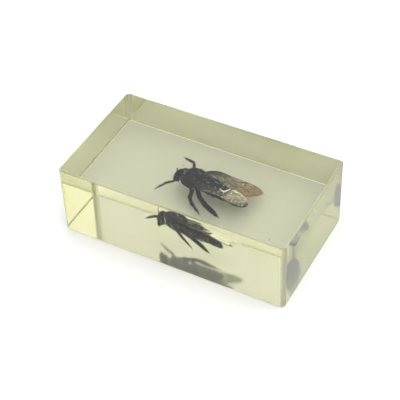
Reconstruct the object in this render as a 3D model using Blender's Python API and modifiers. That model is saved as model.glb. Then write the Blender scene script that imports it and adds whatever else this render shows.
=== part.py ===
"""A black carpenter bee cast in a clear block of resin.

Metres, +Z up.  The block lies on its large underside, with that side's centre at the origin and its length
along X.  The resin was poured in two layers with the bee laid between them, so it is two solids that part at
the height of the pour, each with its half of the pocket that the bee fills.

The bee is built in a frame of its own: the origin in the middle of its body, the head towards -X, the tail
towards +X, the back up.  BEE_PLACE and BEE_ROLL then lay it in the block.  Figures with no unit are millimetres
and are turned to metres where the shapes are made.
"""
import math

import bmesh
import bpy
from mathutils import Matrix, Vector

MM = 0.001

# The block
BLOCK_LENGTH = 73.0
BLOCK_WIDTH = 40.0
BLOCK_HEIGHT = 24.0
CORNER_RADIUS = 1.4       # the four upright corners
EDGE_ROUNDING = 0.45      # every other edge, eased by polishing
POUR_HEIGHT = 9.0         # top of the first layer of resin
LAYER_GAP = 0.3           # left free between the two layers
POCKET_GAP = 0.42         # left free all round the bee

# The bee's place in the block: the middle of its body, and the side nearest the front a little raised
BEE_PLACE = Vector((-2.9, 0.7, 9.4))
BEE_ROLL = math.radians(10)

# The bee's body, to the tips of its short hair
THORAX_PLACE = (0.1, 0.0, 0.3)
THORAX_RADII = (4.1, 4.25, 3.5)
HEAD_PLACE = (-4.4, -0.2, -0.55)
HEAD_RADII = (1.7, 2.6, 2.6)
EYE_PLACE = (-4.6, 1.9, -0.7)
EYE_RADII = (1.0, 0.75, 1.8)
JAW_ROUTE = [(-5.5, 0.9, -2.3), (-5.7, 0.75, -3.3), (-5.5, 0.3, -4.0)]
JAW_RADII = [0.75, 0.5, 0.2]

# The abdomen: plates that overlap towards the tail, flatter than wide, bent down at the end
ABDOMEN_START = 2.3
ABDOMEN_LENGTH = 13.0
ABDOMEN_HALF_WIDTH = 3.7
ABDOMEN_FLATNESS = 0.56   # height over width
ABDOMEN_DROP = 2.9        # how far the tail hangs below the waist
ABDOMEN_BEND = 2.2        # power of the bend: the higher, the nearer the tail it bends
ABDOMEN_TURN = 0.9        # how far the tail swings to the front
PLATES = 6
PLATE_STEP = 0.16         # height of a plate's free edge
WAIST_DROP = 0.3

# Wings: each outline is the leading edge from the shoulder to the tip, then the trailing edge back
WING_THICKNESS = 0.3
WING_ROOT_X = 1.9
FAR_FOREWING = [(1.9, 3.0), (3.6, 5.2), (6.0, 6.15), (10.5, 6.1), (15.4, 6.5), (19.3, 5.8), (21.0, 4.4),
                (19.8, 2.2), (16.8, -0.1), (13.0, 0.6), (9.5, 1.9), (5.5, 2.7)]
NEAR_FOREWING = [(1.9, -3.4), (3.6, -4.5), (7.0, -4.7), (10.5, -4.4), (13.0, -4.9), (15.6, -5.4), (18.0, -4.7),
                 (19.3, -3.0), (18.3, -1.1), (15.6, 0.25), (13.0, 0.5), (10.6, -1.2), (6.5, -1.9)]
FAR_HINDWING = [(2.6, 2.7), (5.5, 4.1), (10.0, 4.3), (13.6, 3.0), (13.2, 1.2), (9.0, 0.7), (5.0, 1.4)]
NEAR_HINDWING = [(2.6, -2.9), (5.5, -4.0), (9.5, -4.1), (12.4, -3.2), (12.2, -1.6), (8.6, -1.0), (5.0, -1.5)]

# Legs: the points of each, from the body to the claws, each with the leg's radius there
FAR_FORELEG = [((-2.0, 2.0, -1.6), 0.65), ((-1.9, 3.8, -0.7), 0.56), ((-2.6, 5.4, -0.1), 0.48),
               ((-3.3, 6.6, -0.1), 0.48), ((-4.7, 7.2, -0.3), 0.50), ((-6.2, 7.9, -0.9), 0.40),
               ((-8.1, 8.8, -1.6), 0.24)]
NEAR_FORELEG = [((-2.2, -2.0, -1.2), 0.65), ((-3.0, -2.9, 0.2), 0.54), ((-3.7, -3.6, 0.8), 0.48),
                ((-4.5, -4.9, 1.0), 0.46), ((-5.7, -6.3, 1.0), 0.44), ((-6.6, -8.1, 0.6), 0.38),
                ((-7.8, -10.2, 0.1), 0.24)]
NEAR_MIDLEG = [((0.4, -2.2, -2.0), 0.68), ((1.4, -3.6, -1.6), 0.62), ((2.1, -5.0, -1.4), 0.60),
               ((2.6, -7.1, -1.4), 0.60), ((3.5, -8.2, -1.8), 0.56), ((4.6, -9.0, -2.6), 0.55),
               ((6.2, -9.7, -3.7), 0.42), ((8.2, -10.8, -4.9), 0.24)]
NEAR_HINDLEG = [((2.0, -1.7, -2.2), 0.72), ((3.3, -3.3, -2.0), 0.66), ((4.6, -5.0, -1.8), 0.64),
                ((6.6, -6.8, -1.8), 0.76), ((8.6, -7.9, -2.3), 0.88), ((10.5, -8.4, -3.2), 0.86),
                ((12.2, -8.9, -4.2), 0.60), ((13.8, -9.25, -4.9), 0.24)]
FAR_MIDLEG = [((0.4, 1.6, -2.0), 0.65), ((1.5, 2.8, -2.8), 0.55), ((3.2, 3.0, -3.0), 0.50),
              ((4.8, 2.0, -3.2), 0.46), ((6.2, 1.0, -3.4), 0.30), ((7.6, 0.2, -3.6), 0.17)]
FAR_HINDLEG = [((2.0, 1.0, -2.2), 0.70), ((3.5, 2.5, -3.5), 0.62), ((5.2, 3.2, -4.2), 0.66),
               ((7.5, 3.3, -4.4), 0.75), ((10.0, 3.2, -4.1), 0.62), ((12.3, 3.1, -3.9), 0.30),
               ((14.2, 3.0, -3.8), 0.17)]
FAR_ANTENNA = [((-5.6, 0.4, 0.4), 0.20), ((-6.0, 0.5, 1.7), 0.17), ((-5.9, 0.1, 2.6), 0.17),
               ((-5.6, -0.2, 3.4), 0.17)]
NEAR_ANTENNA = [((-5.5, -0.8, 0.2), 0.20), ((-5.75, -1.3, -0.5), 0.17), ((-5.65, -1.8, -1.2), 0.17),
                ((-5.4, -2.2, -2.2), 0.17)]
LIMBS = [FAR_FORELEG, NEAR_FORELEG, NEAR_MIDLEG, NEAR_HINDLEG, FAR_MIDLEG, FAR_HINDLEG,
         FAR_ANTENNA, NEAR_ANTENNA]

# Finishes: base colour, roughness, metallic
RESIN_LOOK = ((0.83, 0.83, 0.62, 1.0), 0.05, 0.0)
BEE_LOOK = ((0.022, 0.021, 0.024, 1.0), 0.35, 0.0)

ROUTE_STEPS = 2           # points drawn between two of a limb's own points
MERGE = 0.0000002         # metres
SMOOTH_ANGLE = math.radians(40)


def clear_scene():
    """Take every object of the start-up scene away."""
    for thing in list(bpy.data.objects):
        bpy.data.objects.remove(thing, do_unlink=True)


def new_collection(name):
    """Make a collection in the scene."""
    group = bpy.data.collections.new(name)
    bpy.context.scene.collection.children.link(group)
    return group


def new_material(name, look):
    """Make a plain finish from a colour, a roughness and a metallic value."""
    colour, roughness, metallic = look
    finish = bpy.data.materials.new(name)
    finish.use_nodes = True
    shader = finish.node_tree.nodes["Principled BSDF"]
    shader.inputs["Base Color"].default_value = colour
    shader.inputs["Roughness"].default_value = roughness
    shader.inputs["Metallic"].default_value = metallic
    finish.diffuse_color = colour
    return finish


def add_object(name, mesh, group):
    """Put a mesh into a collection as a named object."""
    thing = bpy.data.objects.new(name, mesh)
    group.objects.link(thing)
    return thing


def baked(thing, group, name):
    """Turn an object with its modifiers, or a curve, into a plain closed mesh object."""
    bpy.context.view_layer.update()
    ready = thing.evaluated_get(bpy.context.evaluated_depsgraph_get())
    mesh = bpy.data.meshes.new_from_object(ready)
    shell = bmesh.new()
    shell.from_mesh(mesh)
    bmesh.ops.remove_doubles(shell, verts=shell.verts, dist=MERGE)
    bmesh.ops.recalc_face_normals(shell, faces=shell.faces)
    shell.to_mesh(mesh)
    shell.free()
    result = add_object(name, mesh, group)
    result.matrix_world = thing.matrix_world
    bpy.data.objects.remove(thing, do_unlink=True)
    return result


def keep_largest_body(mesh):
    """Drop the loose crumbs and sealed hollows that a Boolean leaves in the narrow gaps by the wings."""
    shell = bmesh.new()
    shell.from_mesh(mesh)
    waiting = set(shell.faces)
    bodies = []
    while waiting:
        body = [waiting.pop()]
        for face in body:
            for edge in face.edges:
                fresh = [other for other in edge.link_faces if other in waiting]
                waiting.difference_update(fresh)
                body.extend(fresh)
        bodies.append(body)
    bodies.sort(key=len)
    crumbs = [face for body in bodies[:-1] for face in body]
    bmesh.ops.delete(shell, geom=crumbs, context="FACES")
    shell.to_mesh(mesh)
    shell.free()


def in_metres(point):
    """A point in millimetres as a vector in metres."""
    return Vector(point) * MM


def ball(group, place, radii, grow=0.0, around=20, rings=12):
    """An ellipsoid in the bee's frame, swelled by grow."""
    mesh = bpy.data.meshes.new("ball")
    shell = bmesh.new()
    bmesh.ops.create_uvsphere(shell, u_segments=around, v_segments=rings, radius=1.0)
    size = [(radius + grow) * MM for radius in radii]
    shell.transform(Matrix.Translation(in_metres(place)) @ Matrix.Diagonal((*size, 1.0)))
    shell.to_mesh(mesh)
    shell.free()
    return add_object("ball", mesh, group)


def mirrored(place):
    """The same place on the other side of the bee."""
    return (place[0], -place[1], place[2])


def between(a, b, c, d, share):
    """Catmull-Rom value at a share of the way from b to c."""
    square = share * share
    cube = square * share
    return 0.5 * (2 * b + (c - a) * share + (2 * a - 5 * b + 4 * c - d) * square
                  + (3 * b - a - 3 * c + d) * cube)


def smooth_route(stations):
    """Points and radii along a smooth curve through a limb's own points."""
    ends = [stations[0], *stations, stations[-1]]
    route = []
    for index in range(1, len(ends) - 2):
        near = ends[index - 1:index + 3]
        for step in range(ROUTE_STEPS):
            share = step / ROUTE_STEPS
            point = between(*(Vector(place) for place, _ in near), share)
            route.append((point, between(*(radius for _, radius in near), share)))
    route.append((Vector(stations[-1][0]), stations[-1][1]))
    return route


def tube(group, route, grow=0.0):
    """A tapered round tube along a route in the bee's frame; grow thickens it and lengthens its ends."""
    points = [point.copy() for point, _ in route]
    points[0] -= (points[1] - points[0]).normalized() * grow
    points[-1] += (points[-1] - points[-2]).normalized() * grow
    curve = bpy.data.curves.new("tube", "CURVE")
    curve.dimensions = "3D"
    curve.bevel_depth = MM
    curve.bevel_resolution = 1
    curve.use_fill_caps = True
    spline = curve.splines.new("POLY")
    spline.points.add(len(points) - 1)
    for target, point, (_, radius) in zip(spline.points, points, route):
        target.co = (*in_metres(point), 1.0)
        target.radius = radius + grow
    return baked(add_object("tube", curve, group), group, "tube")


def wing(group, outline, rise, slope, droop, grow=0.0):
    """A thin plate with a smooth outline, laid along the back; it falls with slope and droop to the tip."""
    curve = bpy.data.curves.new("wing", "CURVE")
    curve.dimensions = "2D"
    curve.fill_mode = "BOTH"
    curve.extrude = WING_THICKNESS / 2 * MM
    curve.bevel_depth = grow * MM
    curve.bevel_resolution = 1
    curve.resolution_u = 2
    spline = curve.splines.new("BEZIER")
    spline.bezier_points.add(len(outline) - 1)
    spline.use_cyclic_u = True
    for target, (x, y) in zip(spline.bezier_points, outline):
        target.co = in_metres((x, y, 0))
        target.handle_left_type = "AUTO"
        target.handle_right_type = "AUTO"
    plate = baked(add_object("wing", curve, group), group, "wing")
    for corner in plate.data.vertices:
        reach = corner.co.x / MM - WING_ROOT_X
        corner.co.z += (rise - slope * reach - droop * reach * reach) * MM
    return plate


def abdomen_profile(grow):
    """Half outline of the abdomen, from its tail to its waist, as (distance from the waist, radius)."""
    tail = ABDOMEN_LENGTH + grow
    outline = [(tail, 0.0)]
    for plate in range(PLATES, 0, -1):
        free_edge = plate / PLATES
        root = (plate - 1) / PLATES
        for share, step in ((free_edge, PLATE_STEP), (root + 0.1 / PLATES, 0.0)):
            along = min(share, 0.985)
            # a long egg: broad just behind the waist and narrowing to the tail
            width = ABDOMEN_HALF_WIDTH * math.sin(math.pi * along ** 0.7) ** 0.45
            outline.append((along * ABDOMEN_LENGTH, width + grow + (step if share < 1 else 0.0)))
    outline.append((-grow, 0.0))
    return outline


def abdomen(group, grow=0.0, around=20):
    """The turned, flattened and bent abdomen."""
    outline = abdomen_profile(grow)
    curve = bpy.data.meshes.new("abdomen")
    # the profile stands at +X and runs down: the tail is the top until the shape is laid over
    corners = [(radius * MM, 0.0, along * MM) for along, radius in outline]
    curve.from_pydata(corners, [(i, i + 1) for i in range(len(corners) - 1)], [])
    turned = add_object("abdomen", curve, group)
    screw = turned.modifiers.new("turn", "SCREW")
    screw.steps = around
    screw.render_steps = around
    screw.use_merge_vertices = True
    screw.merge_threshold = MERGE
    body = baked(turned, group, "abdomen")
    for corner in body.data.vertices:
        across, side, along = corner.co
        share = along / (ABDOMEN_LENGTH * MM)
        height = side * ABDOMEN_FLATNESS if grow == 0 else side * (
            (ABDOMEN_FLATNESS * ABDOMEN_HALF_WIDTH + grow) / (ABDOMEN_HALF_WIDTH + grow))
        corner.co = (ABDOMEN_START * MM + along,
                     across - ABDOMEN_TURN * MM * share * share,
                     height - (WAIST_DROP + ABDOMEN_DROP * abs(share) ** ABDOMEN_BEND) * MM)
    shell = bmesh.new()
    shell.from_mesh(body.data)
    bmesh.ops.recalc_face_normals(shell, faces=shell.faces)
    shell.to_mesh(body.data)
    shell.free()
    return body


def fuse(group, pieces, name):
    """Join overlapping closed pieces into one solid."""
    whole = pieces[0]
    for piece in pieces[1:]:
        union = whole.modifiers.new("join", "BOOLEAN")
        union.operation = "UNION"
        union.solver = "EXACT"
        union.object = piece
    result = baked(whole, group, name)
    keep_largest_body(result.data)
    for piece in pieces[1:]:
        bpy.data.objects.remove(piece, do_unlink=True)
    return result


def bee_form(group, name, grow=0.0):
    """The whole bee as one solid, swelled by grow, laid in its place in the block."""
    pieces = [
        ball(group, THORAX_PLACE, THORAX_RADII, grow, around=24, rings=14),
        ball(group, HEAD_PLACE, HEAD_RADII, grow),
        ball(group, EYE_PLACE, EYE_RADII, grow, around=12, rings=8),
        ball(group, mirrored(EYE_PLACE), EYE_RADII, grow, around=12, rings=8),
        abdomen(group, grow),
    ]
    for side in (1, -1):
        jaw = [(Vector((x, side * y, z)), radius) for (x, y, z), radius in zip(JAW_ROUTE, JAW_RADII)]
        pieces.append(tube(group, jaw, grow))
    pieces += [tube(group, smooth_route(limb), grow) for limb in LIMBS]
    pieces += [
        wing(group, FAR_FOREWING, 1.3, 0.12, 0.0, grow),
        wing(group, NEAR_FOREWING, 1.35, 0.0, 0.008, grow),
        wing(group, FAR_HINDWING, 0.8, 0.12, 0.0, grow),
        wing(group, NEAR_HINDWING, 0.9, 0.02, 0.008, grow),
    ]
    form = fuse(group, pieces, name)
    form.data.transform(Matrix.Translation(in_metres(BEE_PLACE)) @ Matrix.Rotation(-BEE_ROLL, 4, "X"))
    return form


def eased_block(group):
    """The whole polished block before it is parted: upright corners rounded more than the other edges."""
    mesh = bpy.data.meshes.new("block")
    shell = bmesh.new()
    bmesh.ops.create_cube(shell, size=1.0)
    shell.transform(Matrix.Translation((0, 0, BLOCK_HEIGHT / 2 * MM))
                    @ Matrix.Diagonal((BLOCK_LENGTH * MM, BLOCK_WIDTH * MM, BLOCK_HEIGHT * MM, 1.0)))
    upright = [edge for edge in shell.edges
               if abs(edge.verts[0].co.z - edge.verts[1].co.z) > BLOCK_HEIGHT / 2 * MM]
    bmesh.ops.bevel(shell, geom=upright, offset=CORNER_RADIUS * MM, segments=4, profile=0.5, affect="EDGES")
    rims = [edge for edge in shell.edges
            if abs(edge.verts[0].co.z - edge.verts[1].co.z) < MERGE]
    bmesh.ops.bevel(shell, geom=rims, offset=EDGE_ROUNDING * MM, segments=2, profile=0.5, affect="EDGES")
    shell.to_mesh(mesh)
    shell.free()
    return add_object("block", mesh, group)


def layer_cutter(group, low, high):
    """A slab wider than the block that covers one range of heights."""
    mesh = bpy.data.meshes.new("slab")
    shell = bmesh.new()
    bmesh.ops.create_cube(shell, size=1.0)
    shell.transform(Matrix.Translation((0, 0, (low + high) / 2 * MM))
                    @ Matrix.Diagonal((2 * BLOCK_LENGTH * MM, 2 * BLOCK_WIDTH * MM, (high - low) * MM, 1.0)))
    shell.to_mesh(mesh)
    shell.free()
    slab = add_object("slab", mesh, group)
    slab.hide_render = True
    slab.display_type = "WIRE"
    return slab


def resin_layer(name, parts, cutters, pocket, low, high, finish):
    """One poured layer of the block, with its share of the bee's pocket cut out."""
    block = eased_block(cutters)
    for operation, tool in (("INTERSECT", layer_cutter(cutters, low, high)), ("DIFFERENCE", pocket)):
        cut = block.modifiers.new(operation.lower(), "BOOLEAN")
        cut.operation = operation
        cut.solver = "EXACT"
        cut.object = tool
    layer = baked(block, parts, name)
    keep_largest_body(layer.data)
    dress(layer, finish)
    return layer


def dress(thing, finish):
    """Give a finished solid its material and smooth shading on its round parts."""
    thing.data.materials.clear()
    thing.data.materials.append(finish)
    thing.data.shade_smooth()
    thing.data.set_sharp_from_angle(angle=SMOOTH_ANGLE)


def main():
    """Build the bee and the two layers of resin around it."""
    clear_scene()
    parts = new_collection("insect_in_resin_block")
    cutters = new_collection("cutters")
    resin = new_material("clear_resin", RESIN_LOOK)
    bee = bee_form(parts, "bee")
    dress(bee, new_material("bee_cuticle", BEE_LOOK))
    pocket = bee_form(cutters, "pocket", POCKET_GAP)
    pocket.hide_render = True
    pocket.display_type = "WIRE"
    margin = 5.0
    resin_layer("resin_lower", parts, cutters, pocket, -margin, POUR_HEIGHT - LAYER_GAP / 2, resin)
    resin_layer("resin_upper", parts, cutters, pocket, POUR_HEIGHT + LAYER_GAP / 2,
                BLOCK_HEIGHT + margin, resin)


main()
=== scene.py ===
"""A black carpenter bee cast in a clear block of resin: its looks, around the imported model.

The frame is in metres: the block lies on its underside, centred on the origin, its length along X, the bee's tail
towards +X and the long side that is seen first towards -Y.  Shapes are worked out in millimetres as numpy arrays
and turned to metres where they become meshes.  The bee's own frame has its origin in the middle of its body, the
head towards -X, the back up; in_block() lays a point of it in the block.
"""
import logging
import math
from collections.abc import Callable, Sequence
from dataclasses import dataclass, field
from enum import Enum

import bpy
import numpy as np
import numpy.typing as npt
from mathutils import Matrix, Vector


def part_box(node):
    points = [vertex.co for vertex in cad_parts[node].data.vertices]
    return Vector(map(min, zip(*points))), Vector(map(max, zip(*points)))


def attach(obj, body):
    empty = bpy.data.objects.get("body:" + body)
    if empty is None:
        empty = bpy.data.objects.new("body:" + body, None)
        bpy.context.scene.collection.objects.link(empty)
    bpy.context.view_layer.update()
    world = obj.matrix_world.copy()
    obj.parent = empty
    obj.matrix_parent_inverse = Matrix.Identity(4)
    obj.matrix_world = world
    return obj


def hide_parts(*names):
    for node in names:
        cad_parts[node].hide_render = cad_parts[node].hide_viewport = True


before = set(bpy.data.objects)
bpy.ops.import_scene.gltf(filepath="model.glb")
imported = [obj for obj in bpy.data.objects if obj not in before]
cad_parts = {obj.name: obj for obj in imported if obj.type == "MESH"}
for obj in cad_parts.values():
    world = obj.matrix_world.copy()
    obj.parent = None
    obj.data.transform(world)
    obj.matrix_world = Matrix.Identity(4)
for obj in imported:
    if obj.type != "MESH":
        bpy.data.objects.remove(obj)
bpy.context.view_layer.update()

log = logging.getLogger("insect_in_resin_block")

Array = npt.NDArray[np.float64]

MM = 0.001
BODY = "root"
RESIN_SLOT = "clear_resin"
BEE_SLOT = "bee_cuticle"

RESIN_IOR = 1.60          # a dense casting polyester, worked out from how far the block shifts what lies in it
AIR_IN_RESIN = 1 / RESIN_IOR
CHITIN_IOR = 1.56

BEE_PLACE = np.array([-2.9, 0.7, 9.4])    # mm from the block's origin to the bee's
BEE_ROLL = math.radians(10)               # how far it lies over, its near side down


class Side(Enum):
    """The two sides of the bee, as the sign of Y in its own frame."""

    FAR = 1
    NEAR = -1


# ---------------------------------------------------------------- colours and nodes

def linear(code: str) -> tuple[float, float, float, float]:
    """Turn an sRGB hex colour into the linear colour that shaders take.

    Args:
        code: the colour as "#rrggbb".

    Returns:
        Red, green, blue and an alpha of 1.
    """
    parts = [int(code[start:start + 2], 16) / 255 for start in (1, 3, 5)]
    red, green, blue = (p / 12.92 if p <= 0.04045 else ((p + 0.055) / 1.055) ** 2.4 for p in parts)
    return (red, green, blue, 1.0)


def add_node(tree: bpy.types.NodeTree, kind: str, inputs: dict | None = None, **settings) -> bpy.types.Node:
    """Add one node with its settings and links.

    Args:
        tree: the node tree that takes it.
        kind: the node's type, such as "ShaderNodeTexNoise".
        inputs: for each input's name or number, a value or the output that feeds it.
        **settings: the node's own properties.

    Returns:
        The new node.
    """
    node = tree.nodes.new(kind)
    for key, value in settings.items():
        setattr(node, key, value)
    for key, value in (inputs or {}).items():
        if isinstance(value, bpy.types.NodeSocket):
            tree.links.new(value, node.inputs[key])
        else:
            node.inputs[key].default_value = value
    return node


def ramp(tree: bpy.types.NodeTree, factor: bpy.types.NodeSocket,
         stops: Sequence[tuple[float, str]]) -> bpy.types.NodeSocket:
    """Turn a factor into a colour that passes through the given stops.

    Args:
        tree: the node tree.
        factor: the output that is looked up.
        stops: places from 0 to 1, each with its sRGB hex colour.

    Returns:
        The colour output.
    """
    node = add_node(tree, "ShaderNodeValToRGB", {0: factor})
    points = node.color_ramp.elements
    while len(points) < len(stops):
        points.new(0.5)
    for point, (place, code) in zip(points, stops):
        point.position = place
        point.color = linear(code)
    return node.outputs[0]


def per_metre(size: float) -> float:
    """Texture scale for a pattern whose grains are this many millimetres apart."""
    return 1 / (size * MM)


def new_finish(name: str) -> tuple[bpy.types.Material, bpy.types.NodeTree, bpy.types.Node]:
    """Start a material.

    Args:
        name: the name of the real material.

    Returns:
        The material, its node tree and its Principled shader.
    """
    finish = bpy.data.materials.new(name)
    finish.use_nodes = True
    return finish, finish.node_tree, finish.node_tree.nodes["Principled BSDF"]


def grain(tree: bpy.types.NodeTree, size: float, detail: float = 2.0) -> bpy.types.NodeSocket:
    """Noise on Object coordinates.

    Args:
        tree: the node tree.
        size: how wide its patches are, in millimetres.
        detail: how many finer layers lie on the first.

    Returns:
        The noise, as a factor output.
    """
    place = add_node(tree, "ShaderNodeTexCoord").outputs["Object"]
    noise = add_node(tree, "ShaderNodeTexNoise", {"Vector": place, "Scale": per_metre(size), "Detail": detail})
    return noise.outputs[0]


def relief(tree: bpy.types.NodeTree, shader: bpy.types.Node, height: bpy.types.NodeSocket,
           depth: float, strength: float = 1.0) -> None:
    """Raise a shader's surface by a height output.

    Args:
        tree: the node tree.
        shader: the shader whose normal is bent.
        height: the output that is read as height, from 0 to 1.
        depth: what a height of 1 stands for, in millimetres.
        strength: the share of the relief that shows.
    """
    bump = add_node(tree, "ShaderNodeBump", {"Height": height, "Distance": depth * MM, "Strength": strength})
    tree.links.new(bump.outputs[0], shader.inputs["Normal"])


# ---------------------------------------------------------------- finishes

@dataclass(frozen=True)
class ClearResin:
    """Clear casting polyester, ground and polished: a wet gloss on top and sides, a faint straw tint that deepens
    with the way through it, and an underside left finely ground, which blurs what is mirrored in it."""

    tint: str = "#EDED7E"
    density: float = 10.0         # per metre
    mirror: float = 0.76          # what a head-on mirror image in it keeps of a perfect polish's
    side_roughness: float = 0.0
    underside_roughness: float = 0.12
    edge_roughness: float = 0.5   # the eased edges are only sanded
    edge_clearness: float = 0.78  # share of the light that the sanding lets through
    edge_tint: str = "#F3F2DC"    # sanding dust and handling have yellowed them
    underside_full: float = 0.09  # mm: how far up the bottom edge is ground like the underside
    underside_top: float = 0.3    # mm: how far up the last of that grinding reaches
    wave: float = 9.0             # mm between the faint waves that hand polishing leaves
    wave_depth: float = 0.004     # mm

    def material(self) -> bpy.types.Material:
        """Build the material.

        Returns:
            The finish, ready for a mesh.
        """
        finish, tree, shader = new_finish("polished_casting_resin")
        shader.inputs["Specular Tint"].default_value = (self.mirror, self.mirror, self.mirror, 1)
        shader.inputs["IOR"].default_value = RESIN_IOR
        place = add_node(tree, "ShaderNodeTexCoord").outputs["Object"]
        height = add_node(tree, "ShaderNodeSeparateXYZ", {0: place}).outputs["Z"]
        rough = add_node(tree, "ShaderNodeMapRange", {
            "Value": height, "From Min": self.underside_full * MM, "From Max": self.underside_top * MM,
            "To Min": self.underside_roughness, "To Max": self.side_roughness})
        eased = add_node(tree, "ShaderNodeAttribute", attribute_name="eased").outputs["Fac"]
        colour = ramp(tree, eased, [(0.0, "#ffffff"), (1.0, self.edge_tint)])
        tree.links.new(colour, shader.inputs["Base Color"])
        sanded = add_node(tree, "ShaderNodeMath", {0: eased, 1: self.edge_roughness}, operation="MULTIPLY")
        rougher = add_node(tree, "ShaderNodeMath", {0: rough.outputs[0], 1: sanded.outputs[0]}, operation="MAXIMUM")
        tree.links.new(rougher.outputs[0], shader.inputs["Roughness"])
        clear = add_node(tree, "ShaderNodeMapRange", {"Value": eased, "To Min": 1.0, "To Max": self.edge_clearness})
        tree.links.new(clear.outputs[0], shader.inputs["Transmission Weight"])
        relief(tree, shader, grain(tree, self.wave, 1.0), self.wave_depth)
        body = add_node(tree, "ShaderNodeVolumeAbsorption", {
            "Color": linear(self.tint), "Density": self.density})
        tree.links.new(body.outputs[0], tree.nodes["Material Output"].inputs["Volume"])
        return finish


@dataclass(frozen=True)
class GroundHaze:
    """The ground layer of the underside: scratches finer than the eye can part, which lay a thin, slightly blue
    veil over what is seen or mirrored in it, as fine scatter does."""

    pale: str = "#EDF0F6"
    deep: str = "#E4E7ED"
    cover: float = 0.11           # share of the light that one skin of the layer scatters
    mottle: float = 3.0           # mm

    def material(self) -> bpy.types.Material:
        """Build the material.

        Returns:
            The finish, ready for a mesh.
        """
        finish, tree, shader = new_finish("ground_resin_underside")
        colour = ramp(tree, grain(tree, self.mottle), [(0.3, self.deep), (0.7, self.pale)])
        tree.links.new(colour, shader.inputs["Base Color"])
        shader.inputs["Alpha"].default_value = self.cover
        shader.inputs["Roughness"].default_value = 0.9
        shader.inputs["Specular IOR Level"].default_value = 0.0
        return finish


@dataclass(frozen=True)
class YellowedSkin:
    """The outermost skin of the sides, which daylight has yellowed more than the resin within.  It bends no light,
    because it is the same resin, and only tints what passes."""

    deep: str = "#F5F5EA"
    pale: str = "#FAFAF2"
    cloud: float = 12.0           # mm between deeper and paler places

    def material(self) -> bpy.types.Material:
        """Build the material.

        Returns:
            The finish, ready for a mesh.
        """
        finish, tree, shader = new_finish("yellowed_resin_skin")
        colour = ramp(tree, grain(tree, self.cloud, 1.0), [(0.3, self.deep), (0.7, self.pale)])
        tree.links.new(colour, shader.inputs["Base Color"])
        shader.inputs["Transmission Weight"].default_value = 1.0
        shader.inputs["IOR"].default_value = 1.0
        shader.inputs["Roughness"].default_value = 0.0
        return finish


@dataclass(frozen=True)
class BlackCuticle:
    """Sclerotised chitin, hardened black with a blue cast and finely pitted.  In resin it has almost no gloss of
    its own, because the two bend light nearly alike, so the pits and a little sheen are all that shows."""

    pit: float = 0.13             # mm between pits
    pit_depth: float = 0.03       # mm
    mottle: float = 0.9           # mm between darker and paler places
    dark: str = "#08080c"
    pale: str = "#191a21"
    gloss_patch: float = 0.5      # mm between glossier and duller places
    glossiest: float = 0.28
    dullest: float = 0.46

    def material(self) -> bpy.types.Material:
        """Build the material.

        Returns:
            The finish, ready for a mesh.
        """
        finish, tree, shader = new_finish("pitted_black_cuticle")
        colour = ramp(tree, grain(tree, self.mottle, 4.0), [(0.3, self.dark), (0.75, self.pale)])
        tree.links.new(colour, shader.inputs["Base Color"])
        shader.inputs["IOR"].default_value = CHITIN_IOR
        shader.inputs["Specular IOR Level"].default_value = 0.22
        rough = add_node(tree, "ShaderNodeMapRange", {
            "Value": grain(tree, self.gloss_patch), "To Min": self.glossiest, "To Max": self.dullest})
        tree.links.new(rough.outputs[0], shader.inputs["Roughness"])
        place = add_node(tree, "ShaderNodeTexCoord").outputs["Object"]
        pits = add_node(tree, "ShaderNodeTexVoronoi", {"Vector": place, "Scale": per_metre(self.pit)})
        relief(tree, shader, pits.outputs["Distance"], self.pit_depth)
        return finish


@dataclass(frozen=True)
class FacetedEye:
    """Compound eye: dark brown-black cuticle in fine hexagons.  The real facets are 0.03 mm, too fine to show, so
    they are drawn 0.12 mm apart, which gives the eye its beaded shine."""

    facet: float = 0.12           # mm
    facet_depth: float = 0.02     # mm
    middle: str = "#1c1717"
    border: str = "#120f10"

    def material(self) -> bpy.types.Material:
        """Build the material.

        Returns:
            The finish, ready for a mesh.
        """
        finish, tree, shader = new_finish("faceted_compound_eye")
        place = add_node(tree, "ShaderNodeTexCoord").outputs["Object"]
        facets = add_node(tree, "ShaderNodeTexVoronoi", {"Vector": place, "Scale": per_metre(self.facet)})
        colour = ramp(tree, facets.outputs["Distance"], [(0.0, self.middle), (0.8, self.border)])
        tree.links.new(colour, shader.inputs["Base Color"])
        shader.inputs["IOR"].default_value = CHITIN_IOR
        shader.inputs["Specular IOR Level"].default_value = 0.4
        shader.inputs["Roughness"].default_value = 0.2
        relief(tree, shader, facets.outputs["Distance"], self.facet_depth, 0.6)
        return finish


@dataclass(frozen=True)
class BeeHair:
    """Stiff black bee hair that bleaches to brown and grey in tufts, dull, each hair a shade of its own."""

    dark: str = "#0c0a0a"
    brown: str = "#3a2c1e"
    pale: str = "#7d7362"
    tuft: float = 0.8             # mm between bleached tufts
    own_shade: float = 0.55       # share of the colour that is each hair's own, and of the most bleached tuft's
    tuft_shade: float = 0.5

    def material(self) -> bpy.types.Material:
        """Build the material.

        Returns:
            The finish, ready for a mesh.
        """
        finish, tree, shader = new_finish("black_bee_hair")
        shade = add_node(tree, "ShaderNodeAttribute", attribute_name="shade").outputs["Fac"]
        tufts = add_node(tree, "ShaderNodeMapRange", {
            "Value": grain(tree, self.tuft), "From Min": 0.45, "From Max": 0.7, "To Max": self.tuft_shade})
        bleached = add_node(tree, "ShaderNodeMath", {0: shade, 1: self.own_shade, 2: tufts.outputs[0]},
                            operation="MULTIPLY_ADD")
        colour = ramp(tree, bleached.outputs[0], [(0.25, self.dark), (0.6, self.brown), (1.0, self.pale)])
        tree.links.new(colour, shader.inputs["Base Color"])
        shader.inputs["Roughness"].default_value = 0.55
        shader.inputs["Specular IOR Level"].default_value = 0.2
        return finish


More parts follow.
